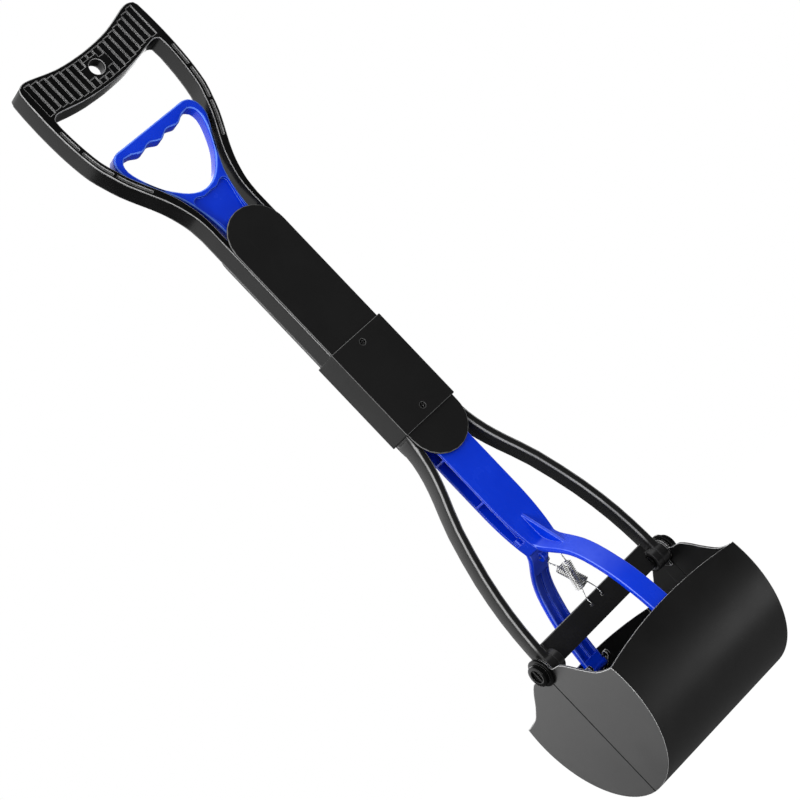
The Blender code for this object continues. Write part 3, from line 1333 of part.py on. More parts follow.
def make_lower_half():
    for name, side in (("left", -1), ("right", 1)):
        make_lower_arm(f"lower_{name}_arm", BODY_PLASTIC, side)
        make_pivot_pin(f"{name}_pivot_pin", DARK_STEEL, side)
        make_pivot_cap(f"{name}_pivot_cap", BODY_PLASTIC, side)
    square = LOWER_PIN_Z - LUG_RADIUS - GAP
    make_cover("lower_front_cover", COVER_PLASTIC, -1, square - LOWER_COVER_LENGTH, square)
    make_cover("lower_back_cover", COVER_PLASTIC, 1, square - LOWER_COVER_LENGTH, square)
    make_crossbar(BODY_PLASTIC)
    make_spring("left_spring", ZINC, -SPRING_HOLE_X, -BOSS_Y)
    make_spring("right_spring", ZINC, SPRING_HOLE_X, BOSS_Y)


def make_jaws():
    make_jaw("front_jaw", JAW_PLASTIC, -1)
    make_jaw("rear_jaw", JAW_PLASTIC, 1)


def joint(name, place, parent, *pieces):
    """An empty on a joint's axis, with the pieces that move with it."""
    made = bpy.data.objects.new(name, None)
    made.empty_display_size = LUG_RADIUS
    bpy.context.scene.collection.objects.link(made)
    made.parent = parent
    above = Vector(parent["place"]) if parent else Vector()
    made.location = Vector(place) - above
    made["place"] = place
    for piece in pieces:
        child = bpy.data.objects[piece]
        child.parent = made
        child.location -= Vector(place)
    return made


def hang_on_joints():
    screws = ("sleeve_screw_top", "sleeve_screw_bottom")
    joint("sleeve_slide", (0, 0, SLEEVE_TOP_Z), None, "lock_sleeve", *screws)
    joint("pull", (0, 0, UPPER_PIN_Z), None, "pull_handle", "upper_rod_pin")
    pins = [f"{level}_{side}_fold_pin" for level in ("upper", "lower") for side in ("left", "right")]
    upper = joint("fold_upper", (0, 0, UPPER_PIN_Z), None, "left_fold_link", "right_fold_link", *pins)
    joint("rod_link_slide", (0, 0, UPPER_PIN_Z), upper, "rod_link")
    kinds = ("pivot_pin", "pivot_cap", "spring")
    halves = [f"{side}_{kind}" for kind in kinds for side in ("left", "right")]
    covers = ("lower_front_cover", "lower_back_cover")
    arms = ("lower_left_arm", "lower_right_arm")
    lower = joint("fold_lower", (0, 0, LOWER_PIN_Z), upper, *arms, *covers, *halves, "crossbar")
    pins = ("lower_rod_pin", "front_fork_pin", "rear_fork_pin")
    joint("fork_slide", (0, 0, LOWER_PIN_Z), lower, "fork", *pins)
    joint("front_jaw_hinge", (0, 0, PIVOT_Z), lower, "front_jaw")
    joint("rear_jaw_hinge", (0, 0, PIVOT_Z), lower, "rear_jaw")


clear_scene()
make_upper_half()
make_fold()
make_rods()
make_lower_half()
make_jaws()
shade_by_angle()
hang_on_joints()
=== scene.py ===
"""Looks of the folding scooper: materials, the wound springs, light, floor and camera."""

import math

import bmesh
import bpy
from mathutils import Matrix, Vector

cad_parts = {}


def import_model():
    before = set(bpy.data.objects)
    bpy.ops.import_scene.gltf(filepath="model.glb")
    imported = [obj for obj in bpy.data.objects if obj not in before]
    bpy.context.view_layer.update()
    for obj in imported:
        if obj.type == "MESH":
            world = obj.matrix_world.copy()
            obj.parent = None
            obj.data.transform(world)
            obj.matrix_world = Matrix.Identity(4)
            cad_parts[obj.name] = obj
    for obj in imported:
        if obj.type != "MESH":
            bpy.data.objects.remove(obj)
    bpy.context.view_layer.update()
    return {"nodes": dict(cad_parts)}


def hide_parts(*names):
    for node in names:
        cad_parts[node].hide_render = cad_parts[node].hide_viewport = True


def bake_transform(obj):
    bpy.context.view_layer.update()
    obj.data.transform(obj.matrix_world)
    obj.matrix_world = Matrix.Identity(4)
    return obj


# Camera, fitted to the photograph
SENSOR = 36.0
LENS = 159.6
CLIP_NEAR = 0.05
CLIP_FAR = 30
CAMERA_RIGHT = (0.6267, -0.3635, -0.6893)
CAMERA_DOWN = (-0.5763, 0.3792, -0.7239)
CAMERA_FORWARD = (0.5245, 0.8509, 0.0281)
CAMERA_PLACE = (-1.4220, -2.3024, -0.4199)

# Springs, on the route of the solid ones
WIRE_RADIUS = 0.0005
COIL_RADIUS = 0.0036
COIL_PITCH = 0.00147
COIL_TURNS = 17
COIL_STEPS = 20
COIL_TAPER_TURNS = 0.75
COIL_END_RADIUS = 0.0009
WIRE_SIDES = 10
WIRE_TIP_HEIGHT = 0.6
HANG_LEADS = 4 / 3
HOOK_STEPS = 6
BOSS_Y = 0.0112
BOSS_Z = -0.5048
BOSS_THICKNESS = 0.0046
BOSS_RADIUS = 0.0043
HOLE_X = 0.0065
HOLE_Z = -0.5570
HOLE_FROM_TOP = 0.0065
CROSSBAR_FRONT = -0.0031
CROSSBAR_THICKNESS = 0.0035
GAP = 0.0003

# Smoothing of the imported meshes
SHARP_ANGLE = math.radians(50)
MERGE_DISTANCE = 0.000001

# Where an edge, a side or a round begins and ends, as parts of a unit normal
BEVEL_SAMPLES = 8
EDGE_DOT = (0.95, 0.76)
SIDE_LEAN = (0.8, 0.5)
ROUND_FROM_SIDE = (0.35, 0.62)
ROUND_FROM_FRONT = (0.97, 0.85)
ACROSS_LEAN = (0.25, 0.5, 0.25, 1.0)
PLATE_LEAN = (0.7, 0.9)

# Places on the scoop and the arms
SEAM_Y = (0.0004, 0.0011)
INNER_WALL_X = 0.0762
INNER_WALL_FADE = 0.0004
EYE_TOP_Z = -0.5550
EYE_FADE = 0.008
EYE_WEAR_AND_HIGHLIGHT = 0.12

# Noise: how many finer layers it has, and how strong each is
BLOTCH_LAYERS = (4.0, 0.6)
GRAIN_LAYERS = (2.0, 0.6)
METAL_GRAIN_LAYERS = (3.0, 0.6)
WEAR_AND_HIGHLIGHT_LAYERS = (3.0, 0.55)
MARK_LAYERS = (2.0, 0.55)

# Hair lines: their turn, the noise's scale along and across them, and where it is cut
HAIRS = ((0.35, 0.2, 0.6), 22.0, 900.0, (0.68, 0.78))
MORE_HAIRS = ((1.1, -0.5, -0.3), 30.0, 1100.0, (0.69, 0.78))

# Moulded plastic
BLOTCH_SCALE = 26.0
BLOTCH_RANGE = (0.3, 0.7)
SPECKLE_RANGE = (0.35, 0.75, 0.0, 0.2)
WEAR_AND_HIGHLIGHT_SCALE = 60.0
WEAR_AND_HIGHLIGHT_RANGE = (0.3, 0.6, 0.75, 1.0)
PATCH_SCALE = 9.0
PATCH_RANGE = (0.46, 0.68)
MARK_TONE = 0.06
MARK_ROUGHNESS = 0.08
MARK_DEPTH = 0.3
ROUGHNESS_SPREAD = 0.03
COAT_ROUGHNESS = 0.12
PAINTED_SHADE_ROUGHNESS = 0.8
WHITE = (1.0, 1.0, 1.0)
BLACK = (0.0, 0.0, 0.0)
PAINTED_SHADE_TINT = (0.1, 0.1, 0.1)

# Metal
METAL_BLOTCH_SCALE = 90.0
METAL_EDGE_TONE = 0.5
METAL_ROUGHNESS_SPREAD = 0.07

# Floor
FLOOR_Z = -1.02
FLOOR_SIZE = 14.0
FLOOR_SEEN = (0.86, 0.86, 0.86)
FLOOR_LIGHTING = (0.32, 0.32, 0.32)
FLOOR_MIRRORED = (0.10, 0.10, 0.10)
FLOOR_WHITE_SHARE = 0.88
FLOOR_WHITE_LEVEL = 1.03

# Studio: levels that are seen, that light the object, and that it mirrors
BACKGROUND_LEVEL = 1.0
LIGHTING_LEVEL = 1.1
BRIGHT_SIDE = (-0.45, 0.82, 0.30)
MIRRORED_RANGE = (0.22, 0.92, 0.03, 2.0)

# Lamps: name, place, the point that it faces, size and power
MIDDLE = (0, 0, -0.35)
LAMPS = (
    ("left_softbox", (-2.0, -0.3, 0.5), MIDDLE, (1.2, 1.6), 8),
    ("gloss_strip", (-1.94, -1.03, -0.2), MIDDLE, (0.3, 2.4), 26),
    ("top_softbox", (-1.0, -0.2, 1.5), MIDDLE, (0.7, 0.7), 5),
    ("back_softbox", (1.1, 1.6, 0.6), MIDDLE, (0.9, 1.6), 9),
    ("low_fill", (0.31, -0.31, -1.0), (0, -0.05, -0.63), (0.2, 0.5), 0.22),
)


# Small node helpers

def new_material(name):
    """A material with an empty Principled shader."""
    mat = bpy.data.materials.new(name)
    mat.use_nodes = True
    tree = mat.node_tree
    tree.nodes.clear()
    out = tree.nodes.new("ShaderNodeOutputMaterial")
    shader = tree.nodes.new("ShaderNodeBsdfPrincipled")
    tree.links.new(shader.outputs["BSDF"], out.inputs["Surface"])
    return mat, tree, shader


def node(tree, kind, **values):
    made = tree.nodes.new(kind)
    for key, value in values.items():
        setattr(made, key, value)
    return made


def plug(tree, target, source):
    """A fixed number, or a link from another node's output."""
    if isinstance(source, (int, float)):
        target.default_value = source
    else:
        tree.links.new(source, target)


def math_node(tree, operation, a, b=None, clamp=False):
    made = node(tree, "ShaderNodeMath", operation=operation, use_clamp=clamp)
    plug(tree, made.inputs[0], a)
    if b is not None:
        plug(tree, made.inputs[1], b)
    return made.outputs[0]


def map_range(tree, value, low, high, to_low=0.0, to_high=1.0):
    """An eased change from one level to another while the value goes from low to high."""
    made = node(tree, "ShaderNodeMapRange", interpolation_type="SMOOTHSTEP")
    plug(tree, made.inputs["Value"], value)
    for key, number in zip(("From Min", "From Max", "To Min", "To Max"), (low, high, to_low, to_high)):
        made.inputs[key].default_value = number
    return made.outputs["Result"]


def mix_colour(tree, share, a, b):
    """The first colour at a share of 0 and the second at 1."""
    made = node(tree, "ShaderNodeMix", data_type="RGBA")
    plug(tree, made.inputs["Factor"], share)
    for socket, colour in ((made.inputs["A"], a), (made.inputs["B"], b)):
        if isinstance(colour, tuple):
            socket.default_value = (*colour, 1.0)
        else:
            tree.links.new(colour, socket)
    return made.outputs["Result"]


def own_coords(tree, scale=(1.0, 1.0, 1.0), turn=(0.0, 0.0, 0.0)):
    """The piece's own coordinates, scaled and turned."""
    coords = node(tree, "ShaderNodeTexCoord")
    mapping = node(tree, "ShaderNodeMapping")
    mapping.inputs["Scale"].default_value = scale
    mapping.inputs["Rotation"].default_value = turn
    tree.links.new(coords.outputs["Object"], mapping.inputs["Vector"])
    return mapping.outputs["Vector"]


def noise(tree, vector, scale, layers):
    made = node(tree, "ShaderNodeTexNoise")
    tree.links.new(vector, made.inputs["Vector"])
    made.inputs["Scale"].default_value = scale
    for key, number in zip(("Detail", "Roughness"), layers):
        made.inputs[key].default_value = number
    return made.outputs["Fac"]


def rounded(tree, radius):
    """The normal as if the edges had this radius."""
    bevel = node(tree, "ShaderNodeBevel", samples=BEVEL_SAMPLES)
    bevel.inputs["Radius"].default_value = radius
    return bevel.outputs["Normal"]


def edge_mask(tree, radius):
    """1 on an outside edge and 0 on a flat face, with the normal of the softened edge."""
    normal = rounded(tree, radius)
    geometry = node(tree, "ShaderNodeNewGeometry")
    dot = node(tree, "ShaderNodeVectorMath", operation="DOT_PRODUCT")
    tree.links.new(normal, dot.inputs[0])
    tree.links.new(geometry.outputs["Normal"], dot.inputs[1])
    return map_range(tree, dot.outputs["Value"], *EDGE_DOT), normal


def along(tree, output, axis):
    """One part of the surface's own place or normal, without its sign."""
    coords = node(tree, "ShaderNodeTexCoord")
    apart = node(tree, "ShaderNodeSeparateXYZ")
    tree.links.new(coords.outputs[output], apart.inputs[0])
    return math_node(tree, "ABSOLUTE", apart.outputs[axis])


def softer_sides(tree, normal, radius):
    """The normal of a bar whose sides run into its front and back in a wide round."""
    side = map_range(tree, along(tree, "Normal", "Y"), *SIDE_LEAN)
    mix = node(tree, "ShaderNodeMix", data_type="VECTOR")
    tree.links.new(side, mix.inputs["Factor"])
    tree.links.new(normal, mix.inputs["A"])
    tree.links.new(rounded(tree, radius), mix.inputs["B"])
    unit = node(tree, "ShaderNodeVectorMath", operation="NORMALIZE")
    tree.links.new(mix.outputs["Result"], unit.inputs[0])
    return unit.outputs["Vector"]


def painted_highlight_band(tree, normal, sides_only=False):
    """1 along the rounds between a bar's front or back and its sides, and 0 on both faces: the mask of
    a painted highlight along those rounds.

    With sides_only, a face that leans up or down between them gets little of it.
    """
    own = node(
        tree, "ShaderNodeVectorTransform", vector_type="NORMAL", convert_from="WORLD", convert_to="OBJECT",
    )
    tree.links.new(normal, own.inputs[0])
    apart = node(tree, "ShaderNodeSeparateXYZ")
    tree.links.new(own.outputs[0], apart.inputs[0])
    lean = math_node(tree, "ABSOLUTE", apart.outputs["Y"])
    off_side = map_range(tree, lean, *ROUND_FROM_SIDE)
    off_front = map_range(tree, lean, *ROUND_FROM_FRONT)
    band = math_node(tree, "MULTIPLY", off_side, off_front)
    if sides_only:
        across = math_node(tree, "ABSOLUTE", apart.outputs["X"])
        band = math_node(tree, "MULTIPLY", band, map_range(tree, across, *ACROSS_LEAN))
    return band


def away_from_seam(tree):
    """0 by the plane where the two jaws meet, and 1 elsewhere."""
    return map_range(tree, along(tree, "Object", "Y"), *SEAM_Y)


def above_pivots(tree):
    """Little of the wear and painted highlight on the arms' eyes and on the crossbar, which stay dark, and
    1 on the bars above them.
    """
    coords = node(tree, "ShaderNodeTexCoord")
    apart = node(tree, "ShaderNodeSeparateXYZ")
    tree.links.new(coords.outputs["Object"], apart.inputs[0])
    return map_range(tree, apart.outputs["Z"], EYE_TOP_Z, EYE_TOP_Z + EYE_FADE, EYE_WEAR_AND_HIGHLIGHT, 1.0)


def on_inner_wall(tree):
    """1 on the faces of the end plates that look into the scoop."""
    plate = map_range(tree, along(tree, "Normal", "X"), *PLATE_LEAN)
    inside = map_range(tree, along(tree, "Object", "X"), INNER_WALL_X + INNER_WALL_FADE, INNER_WALL_X)
    return math_node(tree, "MULTIPLY", plate, inside)


def scratches(tree, turn, along_scale, across_scale, cut):
    """Thin hair lines: a noise that is drawn out along one direction and cut at a high value."""
    vector = own_coords(tree, (across_scale, across_scale, along_scale), turn)
    return map_range(tree, noise(tree, vector, 1.0, MARK_LAYERS), *cut)


def handling_marks(tree, plain):
    """Hair lines in two directions, in patches."""
    marks = math_node(tree, "MAXIMUM", scratches(tree, *HAIRS), scratches(tree, *MORE_HAIRS))
    patchy = map_range(tree, noise(tree, plain, PATCH_SCALE, MARK_LAYERS), *PATCH_RANGE)
    return math_node(tree, "MULTIPLY", marks, patchy)


def painted_shade_places(tree, away):
    """1 by the jaws' seam and on their inner walls, where the reflection is dimmed as painted shade."""
    by_seam = math_node(tree, "SUBTRACT", 1.0, away)
    return math_node(tree, "MAXIMUM", by_seam, on_inner_wall(tree))


def add_relief(tree, shader, height, depth, normal):
    """A fine relief on top of the softened normal."""
    bump = node(tree, "ShaderNodeBump")
    bump.inputs["Distance"].default_value = depth
    tree.links.new(height, bump.inputs["Height"])
    tree.links.new(normal, bump.inputs["Normal"])
    tree.links.new(bump.outputs["Normal"], shader.inputs["Normal"])


def moulded_plastic(name, dark, light, worn_and_highlight, rough, grain, depth, edge, level,
                    coat=0.0, soft=0.0, scoop=False, eyes=False, sides_only=False):
    """Injection-moulded plastic: blotchy tone, a spark-eroded grain, handling marks and light edges,
    which are part wear and part painted highlight.

    dark and light are the two tones of the plastic, and the worn colour is that of its worn edges
    and marks and of the painted highlight on its edges, or with soft on the rounds between sides
    and front. grain and depth are the grain's scale and height. edge is the radius of the softened
    edges, and soft the wider one between sides and front. level is the strength of the reflection,
    and coat that of a clear gloss on it. scoop, eyes and sides_only are for the jaws, the arms and
    the fork.
    """
    mat, tree, shader = new_material(name)
    plain = own_coords(tree)
    blotch = noise(tree, plain, BLOTCH_SCALE, BLOTCH_LAYERS)
    fine = noise(tree, plain, grain, GRAIN_LAYERS)
    mask, normal = edge_mask(tree, edge)
    if soft:
        normal = softer_sides(tree, normal, soft)
        # painted highlight: with soft, the light edge colour goes along the rounds between sides and front
        mask = painted_highlight_band(tree, normal, sides_only)
    marks = handling_marks(tree, plain)
    tone = mix_colour(tree, map_range(tree, blotch, *BLOTCH_RANGE), dark, light)
    tone = mix_colour(tree, map_range(tree, fine, *SPECKLE_RANGE), tone, light)
    # The edges take a light colour that is part wear and part painted highlight, made uneven by a noise.
    uneven = map_range(tree, noise(tree, plain, WEAR_AND_HIGHLIGHT_SCALE, WEAR_AND_HIGHLIGHT_LAYERS), *WEAR_AND_HIGHLIGHT_RANGE)
    wear_and_highlight = math_node(tree, "MULTIPLY", mask, uneven)
    if eyes:
        wear_and_highlight = math_node(tree, "MULTIPLY", wear_and_highlight, above_pivots(tree))
    if scoop:
        away = away_from_seam(tree)
        wear_and_highlight = math_node(tree, "MULTIPLY", wear_and_highlight, away)
        # painted shade: the tone goes to black by the jaws' seam
        tone = mix_colour(tree, away, BLACK, tone)
    tone = mix_colour(tree, wear_and_highlight, tone, worn_and_highlight)
    tone = mix_colour(tree, math_node(tree, "MULTIPLY", marks, MARK_TONE), tone, worn_and_highlight)
    tree.links.new(tone, shader.inputs["Base Color"])
    low, high = rough - ROUGHNESS_SPREAD, rough + ROUGHNESS_SPREAD
    roughness = map_range(tree, blotch, *BLOTCH_RANGE, low, high)
    rubbed = math_node(tree, "MULTIPLY", marks, MARK_ROUGHNESS)
    roughness = math_node(tree, "ADD", roughness, rubbed, clamp=True)
    if scoop:
        # painted shade: by the seam and on the inner walls the reflection is made rougher and tinted dark
        painted_shade_share = painted_shade_places(tree, away)
        matte = math_node(tree, "MULTIPLY", painted_shade_share, PAINTED_SHADE_ROUGHNESS)
        roughness = math_node(tree, "MAXIMUM", roughness, matte)
        shaded_shine = mix_colour(tree, painted_shade_share, WHITE, PAINTED_SHADE_TINT)
        tree.links.new(shaded_shine, shader.inputs["Specular Tint"])
    tree.links.new(roughness, shader.inputs["Roughness"])
    shader.inputs["Specular IOR Level"].default_value = level
    shader.inputs["Coat Weight"].default_value = coat
    shader.inputs["Coat Roughness"].default_value = COAT_ROUGHNESS
    height = math_node(tree, "SUBTRACT", fine, math_node(tree, "MULTIPLY", marks, MARK_DEPTH))
    add_relief(tree, shader, height, depth, normal)
    return mat


def grey(value):
    return (value, value, value)


def metal(name, dark, light, rough, grain, depth, edge):
    """Plated or blackened metal: uneven tone, a fine grain and brighter edges."""
    mat, tree, shader = new_material(name)
    plain = own_coords(tree)
    blotch = noise(tree, plain, METAL_BLOTCH_SCALE, BLOTCH_LAYERS)
    fine = noise(tree, plain, grain, METAL_GRAIN_LAYERS)
    mask, normal = edge_mask(tree, edge)
    tone = mix_colour(tree, map_range(tree, blotch, *BLOTCH_RANGE), dark, light)
    tone = mix_colour(tree, math_node(tree, "MULTIPLY", mask, METAL_EDGE_TONE), tone, light)
    tree.links.new(tone, shader.inputs["Base Color"])
    shader.inputs["Metallic"].default_value = 1.0
    low, high = rough - METAL_ROUGHNESS_SPREAD, rough + METAL_ROUGHNESS_SPREAD
    tree.links.new(map_range(tree, fine, *BLOTCH_RANGE, low, high), shader.inputs["Roughness"])
    add_relief(tree, shader, fine, depth, normal)
    return mat


def make_looks():
    blue = {"dark": (0.0004, 0.028, 0.55), "light": (0.0008, 0.035, 0.61)}
    return {
        "frame": moulded_plastic(
            "frame_gloss_black", dark=grey(0.0035), light=(0.006, 0.006, 0.0062), worn_and_highlight=grey(0.42),
            rough=0.20, grain=1500.0, depth=0.000006, edge=0.0011, level=0.055, coat=0.03, soft=0.0035,
        ),
        "arms": moulded_plastic(
            "arms_satin_black", dark=grey(0.011), light=(0.0135, 0.0135, 0.0137), worn_and_highlight=grey(0.33),
            rough=0.26, grain=1700.0, depth=0.000008, edge=0.0011, level=0.10, soft=0.003, eyes=True,
        ),
        "cover": moulded_plastic(
            "cover_matte_black", dark=grey(0.0094), light=grey(0.0106), worn_and_highlight=grey(0.17),
            rough=0.55, grain=2600.0, depth=0.000010, edge=0.0010, level=0.14, soft=0.0016,
        ),
        "jaws": moulded_plastic(
            "jaws_satin_black", dark=grey(0.0035), light=grey(0.0052), worn_and_highlight=grey(0.85),
            rough=0.38, grain=2400.0, depth=0.000008, edge=0.0011, level=1.0, scoop=True,
        ),
        "caps": moulded_plastic(
            "caps_gloss_black", dark=grey(0.0025), light=grey(0.004), worn_and_highlight=grey(0.05),
            rough=0.18, grain=1500.0, depth=0.00001, edge=0.0007, level=0.15,
        ),
        "screws": moulded_plastic(
            "screws_gloss_black", dark=grey(0.001), light=grey(0.002), worn_and_highlight=grey(0.22),
            rough=0.18, grain=1500.0, depth=0.00001, edge=0.0003, level=0.12,
        ),
        "blue": moulded_plastic(
            "blue_semi_gloss", **blue, worn_and_highlight=(0.13, 0.27, 0.90),
            rough=0.26, grain=1800.0, depth=0.000008, edge=0.0010, level=0.14, soft=0.0014,
        ),
        "fork": moulded_plastic(
            "fork_semi_gloss_blue", **blue, worn_and_highlight=(0.16, 0.24, 0.90),
            rough=0.26, grain=1800.0, depth=0.000008, edge=0.0010, level=0.12, soft=0.0014,
            sides_only=True,
        ),
        "zinc": metal(
            "zinc_bright", dark=(0.52, 0.52, 0.51), light=(0.74, 0.74, 0.73),
            rough=0.26, grain=1400.0, depth=0.00002, edge=0.0002,
        ),
        "dark_steel": metal(
            "dark_steel", dark=(0.035, 0.035, 0.036), light=(0.11, 0.11, 0.115),
            rough=0.34, grain=1000.0, depth=0.00002, edge=0.0003,
        ),
    }


# Which pieces have which look
GROUPS = {
    "frame": ("grip_frame",),
    "caps": ("left_pivot_cap", "right_pivot_cap"),
    "screws": ("sleeve_screw_top", "sleeve_screw_bottom"),
    "arms": ("lower_left_arm", "lower_right_arm", "crossbar"),
    "cover": (
        "upper_front_cover", "upper_back_cover", "lower_front_cover", "lower_back_cover", "lock_sleeve",
    ),
    "jaws": ("front_jaw", "rear_jaw"),
    "blue": ("pull_handle", "rod_link"),
    "fork": ("fork",),
    "dark_steel": ("left_fold_link", "right_fold_link", "left_pivot_pin", "right_pivot_pin"),
    "zinc": (
        "upper_left_fold_pin", "upper_right_fold_pin", "lower_left_fold_pin", "lower_right_fold_pin",
        "upper_rod_pin", "lower_rod_pin", "front_fork_pin", "rear_fork_pin",
        "left_spring", "right_spring",
    ),
}


def make_smoother():
    """A modifier's nodes: joined corners, and even shading except across the sharp edges."""
    group = bpy.data.node_groups.new("smooth_up_to_sharp_edges", "GeometryNodeTree")
    for way in ("INPUT", "OUTPUT"):
        group.interface.new_socket("Geometry", in_out=way, socket_type="NodeSocketGeometry")
    joined = node(group, "GeometryNodeMergeByDistance")
    joined.inputs["Distance"].default_value = MERGE_DISTANCE
    bare = node(group, "GeometryNodeRemoveAttribute")
    bare.inputs["Name"].default_value = "custom_normal"
    faces = node(group, "GeometryNodeSetShadeSmooth", domain="FACE")
    edges = node(group, "GeometryNodeSetShadeSmooth", domain="EDGE")
    angle = node(group, "GeometryNodeInputMeshEdgeAngle")
    blunt = node(group, "FunctionNodeCompare", data_type="FLOAT", operation="LESS_THAN")
    blunt.inputs[1].default_value = SHARP_ANGLE
    group.links.new(angle.outputs["Unsigned Angle"], blunt.inputs[0])
    group.links.new(blunt.outputs["Result"], edges.inputs["Shade Smooth"])
    chain = [node(group, "NodeGroupInput"), joined, bare, faces, edges, node(group, "NodeGroupOutput")]
    for first, second in zip(chain, chain[1:]):
        group.links.new(first.outputs[0], second.inputs[0])
    return group


def dress(nodes, looks):
    """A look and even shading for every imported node."""
    smoother = make_smoother()
    for look, names in GROUPS.items():
        for name in names:
            for place in nodes[name].material_slots:
                place.material = looks[look]
            nodes[name].modifiers.new("smooth", "NODES").node_group = smoother
            weighted = nodes[name].modifiers.new("even_flats", "WEIGHTED_NORMAL")
            weighted.mode = "FACE_AREA_WITH_ANGLE"
            weighted.keep_sharp = True


# Springs

def coil_points(start, end):
    """The turns of a coil in the middle of a line, narrower at both ends."""
    along = (end - start).normalized()
    side = along.cross(Vector((0, 1, 0))).normalized()
    other = along.cross(side)
    first = (start + end) / 2 - along * COIL_PITCH * COIL_TURNS / 2
    points = []
    for i in range(COIL_TURNS * COIL_STEPS + 1):
        turn = i / COIL_STEPS
        near_end = min(turn, COIL_TURNS - turn, COIL_TAPER_TURNS) / COIL_TAPER_TURNS
        ease = near_end * near_end * (3 - 2 * near_end)
        radius = COIL_END_RADIUS + (COIL_RADIUS - COIL_END_RADIUS) * ease
        angle = 2 * math.pi * turn
        outwards = side * math.cos(angle) + other * math.sin(angle)
        points.append(first + along * COIL_PITCH * turn + outwards * radius)
    return points


def smooth_line(points, steps):
    """A Catmull-Rom curve through all the points."""
    line = []
    for i in range(len(points) - 1):
        p = points[max(i - 1, 0)]
        q, r = points[i], points[i + 1]
        s = points[min(i + 2, len(points) - 1)]
        for k in range(steps):
            t = k / steps
            line.append((2 * q + (r - p) * t + (2 * p - 5 * q + 4 * r - s) * t ** 2
                         + (3 * q - p - 3 * r + s) * t ** 3) / 2)
    line.append(points[-1])
    return line


def spring_line(x, y):
    """From the hook through a boss of the fork, by the coil, to the hook in the crossbar's hole."""
    reach = BOSS_THICKNESS / 2 + WIRE_RADIUS + GAP
    lead = BOSS_RADIUS + WIRE_RADIUS + GAP
    boss = Vector((0, y, BOSS_Z))
    hole = Vector((x, CROSSBAR_FRONT - GAP - WIRE_RADIUS, HOLE_Z))
    hang = boss - Vector((0, 0, lead * HANG_LEADS))
    land = hole + Vector((0, 0, HOLE_FROM_TOP + WIRE_RADIUS))
    hook = [boss + Vector((-reach, 0, 0)), boss, boss + Vector((reach, 0, 0))]
    hook += [boss + Vector((reach, 0, -lead)), hang]
    tail = [land, hole + Vector((0, 0, WIRE_RADIUS * 2)), hole + Vector((0, WIRE_RADIUS * 2, 0))]
    tail += [hole + Vector((0, CROSSBAR_THICKNESS + WIRE_RADIUS * 3, 0))]
    coil = coil_points(hang, land)
    start = smooth_line(hook + coil[:1], HOOK_STEPS)
    finish = smooth_line(coil[-1:] + tail, HOOK_STEPS)
    return start[:-1] + coil + finish[1:]


def tube(name, line, radius, sides):
    """A round wire along a line, with its rings carried along without twist, and rounded ends."""
    bm = bmesh.new()
    count = len(line)
    tangents = [(line[min(i + 1, count - 1)] - line[max(i - 1, 0)]).normalized() for i in range(count)]
    across = tangents[0].orthogonal().normalized()
    rings = []
    for point, tangent in zip(line, tangents):
        across = (across - tangent * across.dot(tangent)).normalized()
        over = tangent.cross(across)
        ring = []
        for k in range(sides):
            angle = 2 * math.pi * k / sides
            outwards = across * math.cos(angle) + over * math.sin(angle)
            ring.append(bm.verts.new(point + outwards * radius))
        rings.append(ring)
    for low, high in zip(rings, rings[1:]):
        for k in range(sides):
            bm.faces.new((low[k], low[(k + 1) % sides], high[(k + 1) % sides], high[k]))
    for ring, point, way in ((rings[0], line[0], -tangents[0]), (rings[-1], line[-1], tangents[-1])):
        tip = bm.verts.new(point + way * radius * WIRE_TIP_HEIGHT)
        for k in range(sides):
            face = bm.faces.new((ring[k], ring[(k + 1) % sides], tip))
            if face.normal.dot(way) < 0:
                face.normal_flip()
    bmesh.ops.recalc_face_normals(bm, faces=bm.faces)
    mesh = bpy.data.meshes.new(name)
    bm.to_mesh(mesh)
    bm.free()
    for face in mesh.polygons:
        face.use_smooth = True
    made = bpy.data.objects.new(name, mesh)
    bpy.context.scene.collection.objects.link(made)
    return made


def make_springs(looks):
    for side, name in ((-1, "left"), (1, "right")):
        line = spring_line(side * HOLE_X, side * BOSS_Y)
        spring = tube(f"{name}_spring_wire", line, WIRE_RADIUS, WIRE_SIDES)
        spring.data.materials.append(looks["zinc"])
        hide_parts(f"{name}_spring")
        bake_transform(spring)


# Floor, light and camera

def make_floor():
    """A pale floor that is nearly white where it is seen and keeps the object's shadow."""
    bm = bmesh.new()
    half = FLOOR_SIZE / 2
    corners = ((-half, -half), (half, -half), (half, half), (-half, half))
    bm.faces.new([bm.verts.new((x, y, FLOOR_Z)) for x, y in corners])
    mesh = bpy.data.meshes.new("floor")
    bm.to_mesh(mesh)
    bm.free()
    floor = bpy.data.objects.new("floor", mesh)
    bpy.context.scene.collection.objects.link(floor)
    mat = bpy.data.materials.new("floor_pale")
    mat.use_nodes = True
    tree = mat.node_tree
    tree.nodes.clear()
    out = node(tree, "ShaderNodeOutputMaterial")
    diffuse = node(tree, "ShaderNodeBsdfDiffuse")
    white = node(tree, "ShaderNodeEmission")
    white.inputs["Strength"].default_value = FLOOR_WHITE_LEVEL
    mix = node(tree, "ShaderNodeMixShader")
    path = node(tree, "ShaderNodeLightPath")
    colour = mix_colour(tree, path.outputs["Is Camera Ray"], FLOOR_LIGHTING, FLOOR_SEEN)
    colour = mix_colour(tree, path.outputs["Is Glossy Ray"], colour, FLOOR_MIRRORED)
    tree.links.new(colour, diffuse.inputs["Color"])
    seen = math_node(tree, "MULTIPLY", path.outputs["Is Camera Ray"], FLOOR_WHITE_SHARE)
    tree.links.new(seen, mix.inputs["Fac"])
    tree.links.new(diffuse.outputs["BSDF"], mix.inputs[1])
    tree.links.new(white.outputs["Emission"], mix.inputs[2])
    tree.links.new(mix.outputs["Shader"], out.inputs["Surface"])
    mesh.materials.append(mat)


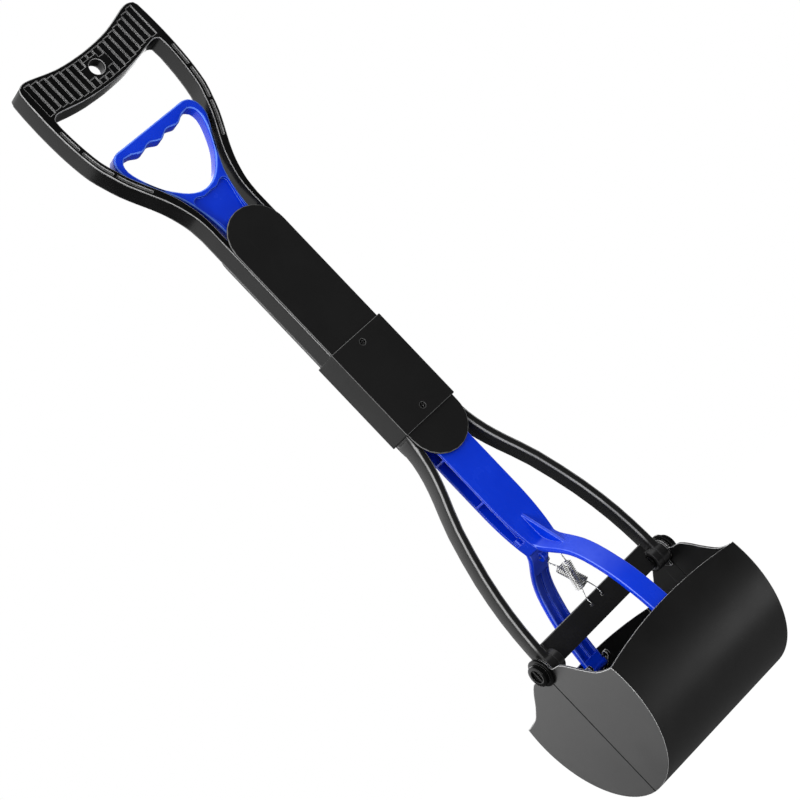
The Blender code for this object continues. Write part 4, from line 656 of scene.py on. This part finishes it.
def make_world():
    """White where it is seen, an even pale light, and reflections that are bright on one side only."""
    world = bpy.data.worlds.new("studio")
    bpy.context.scene.world = world
    world.use_nodes = True
    tree = world.node_tree
    tree.nodes.clear()
    out = node(tree, "ShaderNodeOutputWorld")
    path = node(tree, "ShaderNodeLightPath")
    coords = node(tree, "ShaderNodeTexCoord")
    dot = node(tree, "ShaderNodeVectorMath", operation="DOT_PRODUCT")
    tree.links.new(coords.outputs["Generated"], dot.inputs[0])
    dot.inputs[1].default_value = Vector(BRIGHT_SIDE).normalized()
    studio = map_range(tree, dot.outputs["Value"], *MIRRORED_RANGE)
    straight, through = path.outputs["Is Camera Ray"], path.outputs["Is Transmission Ray"]
    seen = math_node(tree, "MAXIMUM", straight, through)
    level = node(tree, "ShaderNodeMix", data_type="FLOAT")
    tree.links.new(path.outputs["Is Glossy Ray"], level.inputs["Factor"])
    level.inputs["A"].default_value = LIGHTING_LEVEL
    tree.links.new(studio, level.inputs["B"])
    strength = node(tree, "ShaderNodeMix", data_type="FLOAT")
    tree.links.new(seen, strength.inputs["Factor"])
    tree.links.new(level.outputs["Result"], strength.inputs["A"])
    strength.inputs["B"].default_value = BACKGROUND_LEVEL
    background = node(tree, "ShaderNodeBackground")
    background.inputs["Color"].default_value = (*WHITE, 1.0)
    tree.links.new(strength.outputs["Result"], background.inputs["Strength"])
    tree.links.new(background.outputs["Background"], out.inputs["Surface"])


def make_lamp(name, place, target, size, power):
    light = bpy.data.lights.new(name, "AREA")
    light.shape = "RECTANGLE"
    light.size, light.size_y = size
    light.energy = power
    lamp = bpy.data.objects.new(name, light)
    lamp.location = place
    lamp.rotation_euler = (Vector(target) - Vector(place)).to_track_quat("-Z", "Y").to_euler()
    lamp.visible_camera = False
    bpy.context.scene.collection.objects.link(lamp)


def make_light():
    for lamp in LAMPS:
        make_lamp(*lamp)


def make_camera():
    camera = bpy.data.cameras.new("camera")
    camera.sensor_width = SENSOR
    camera.sensor_fit = "HORIZONTAL"
    camera.lens = LENS
    camera.clip_start = CLIP_NEAR
    camera.clip_end = CLIP_FAR
    made = bpy.data.objects.new("camera", camera)
    rows = zip(CAMERA_RIGHT, CAMERA_DOWN, CAMERA_FORWARD, CAMERA_PLACE)
    made.matrix_world = Matrix([[r, -d, -f, p] for r, d, f, p in rows] + [[0, 0, 0, 1]])
    bpy.context.scene.collection.objects.link(made)
    bpy.context.scene.camera = made


def main():
    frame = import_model()
    scene = bpy.context.scene
    scene.view_settings.view_transform = "Standard"
    looks = make_looks()
    dress(frame["nodes"], looks)
    make_springs(looks)
    make_floor()
    make_world()
    make_light()
    make_camera()


main()
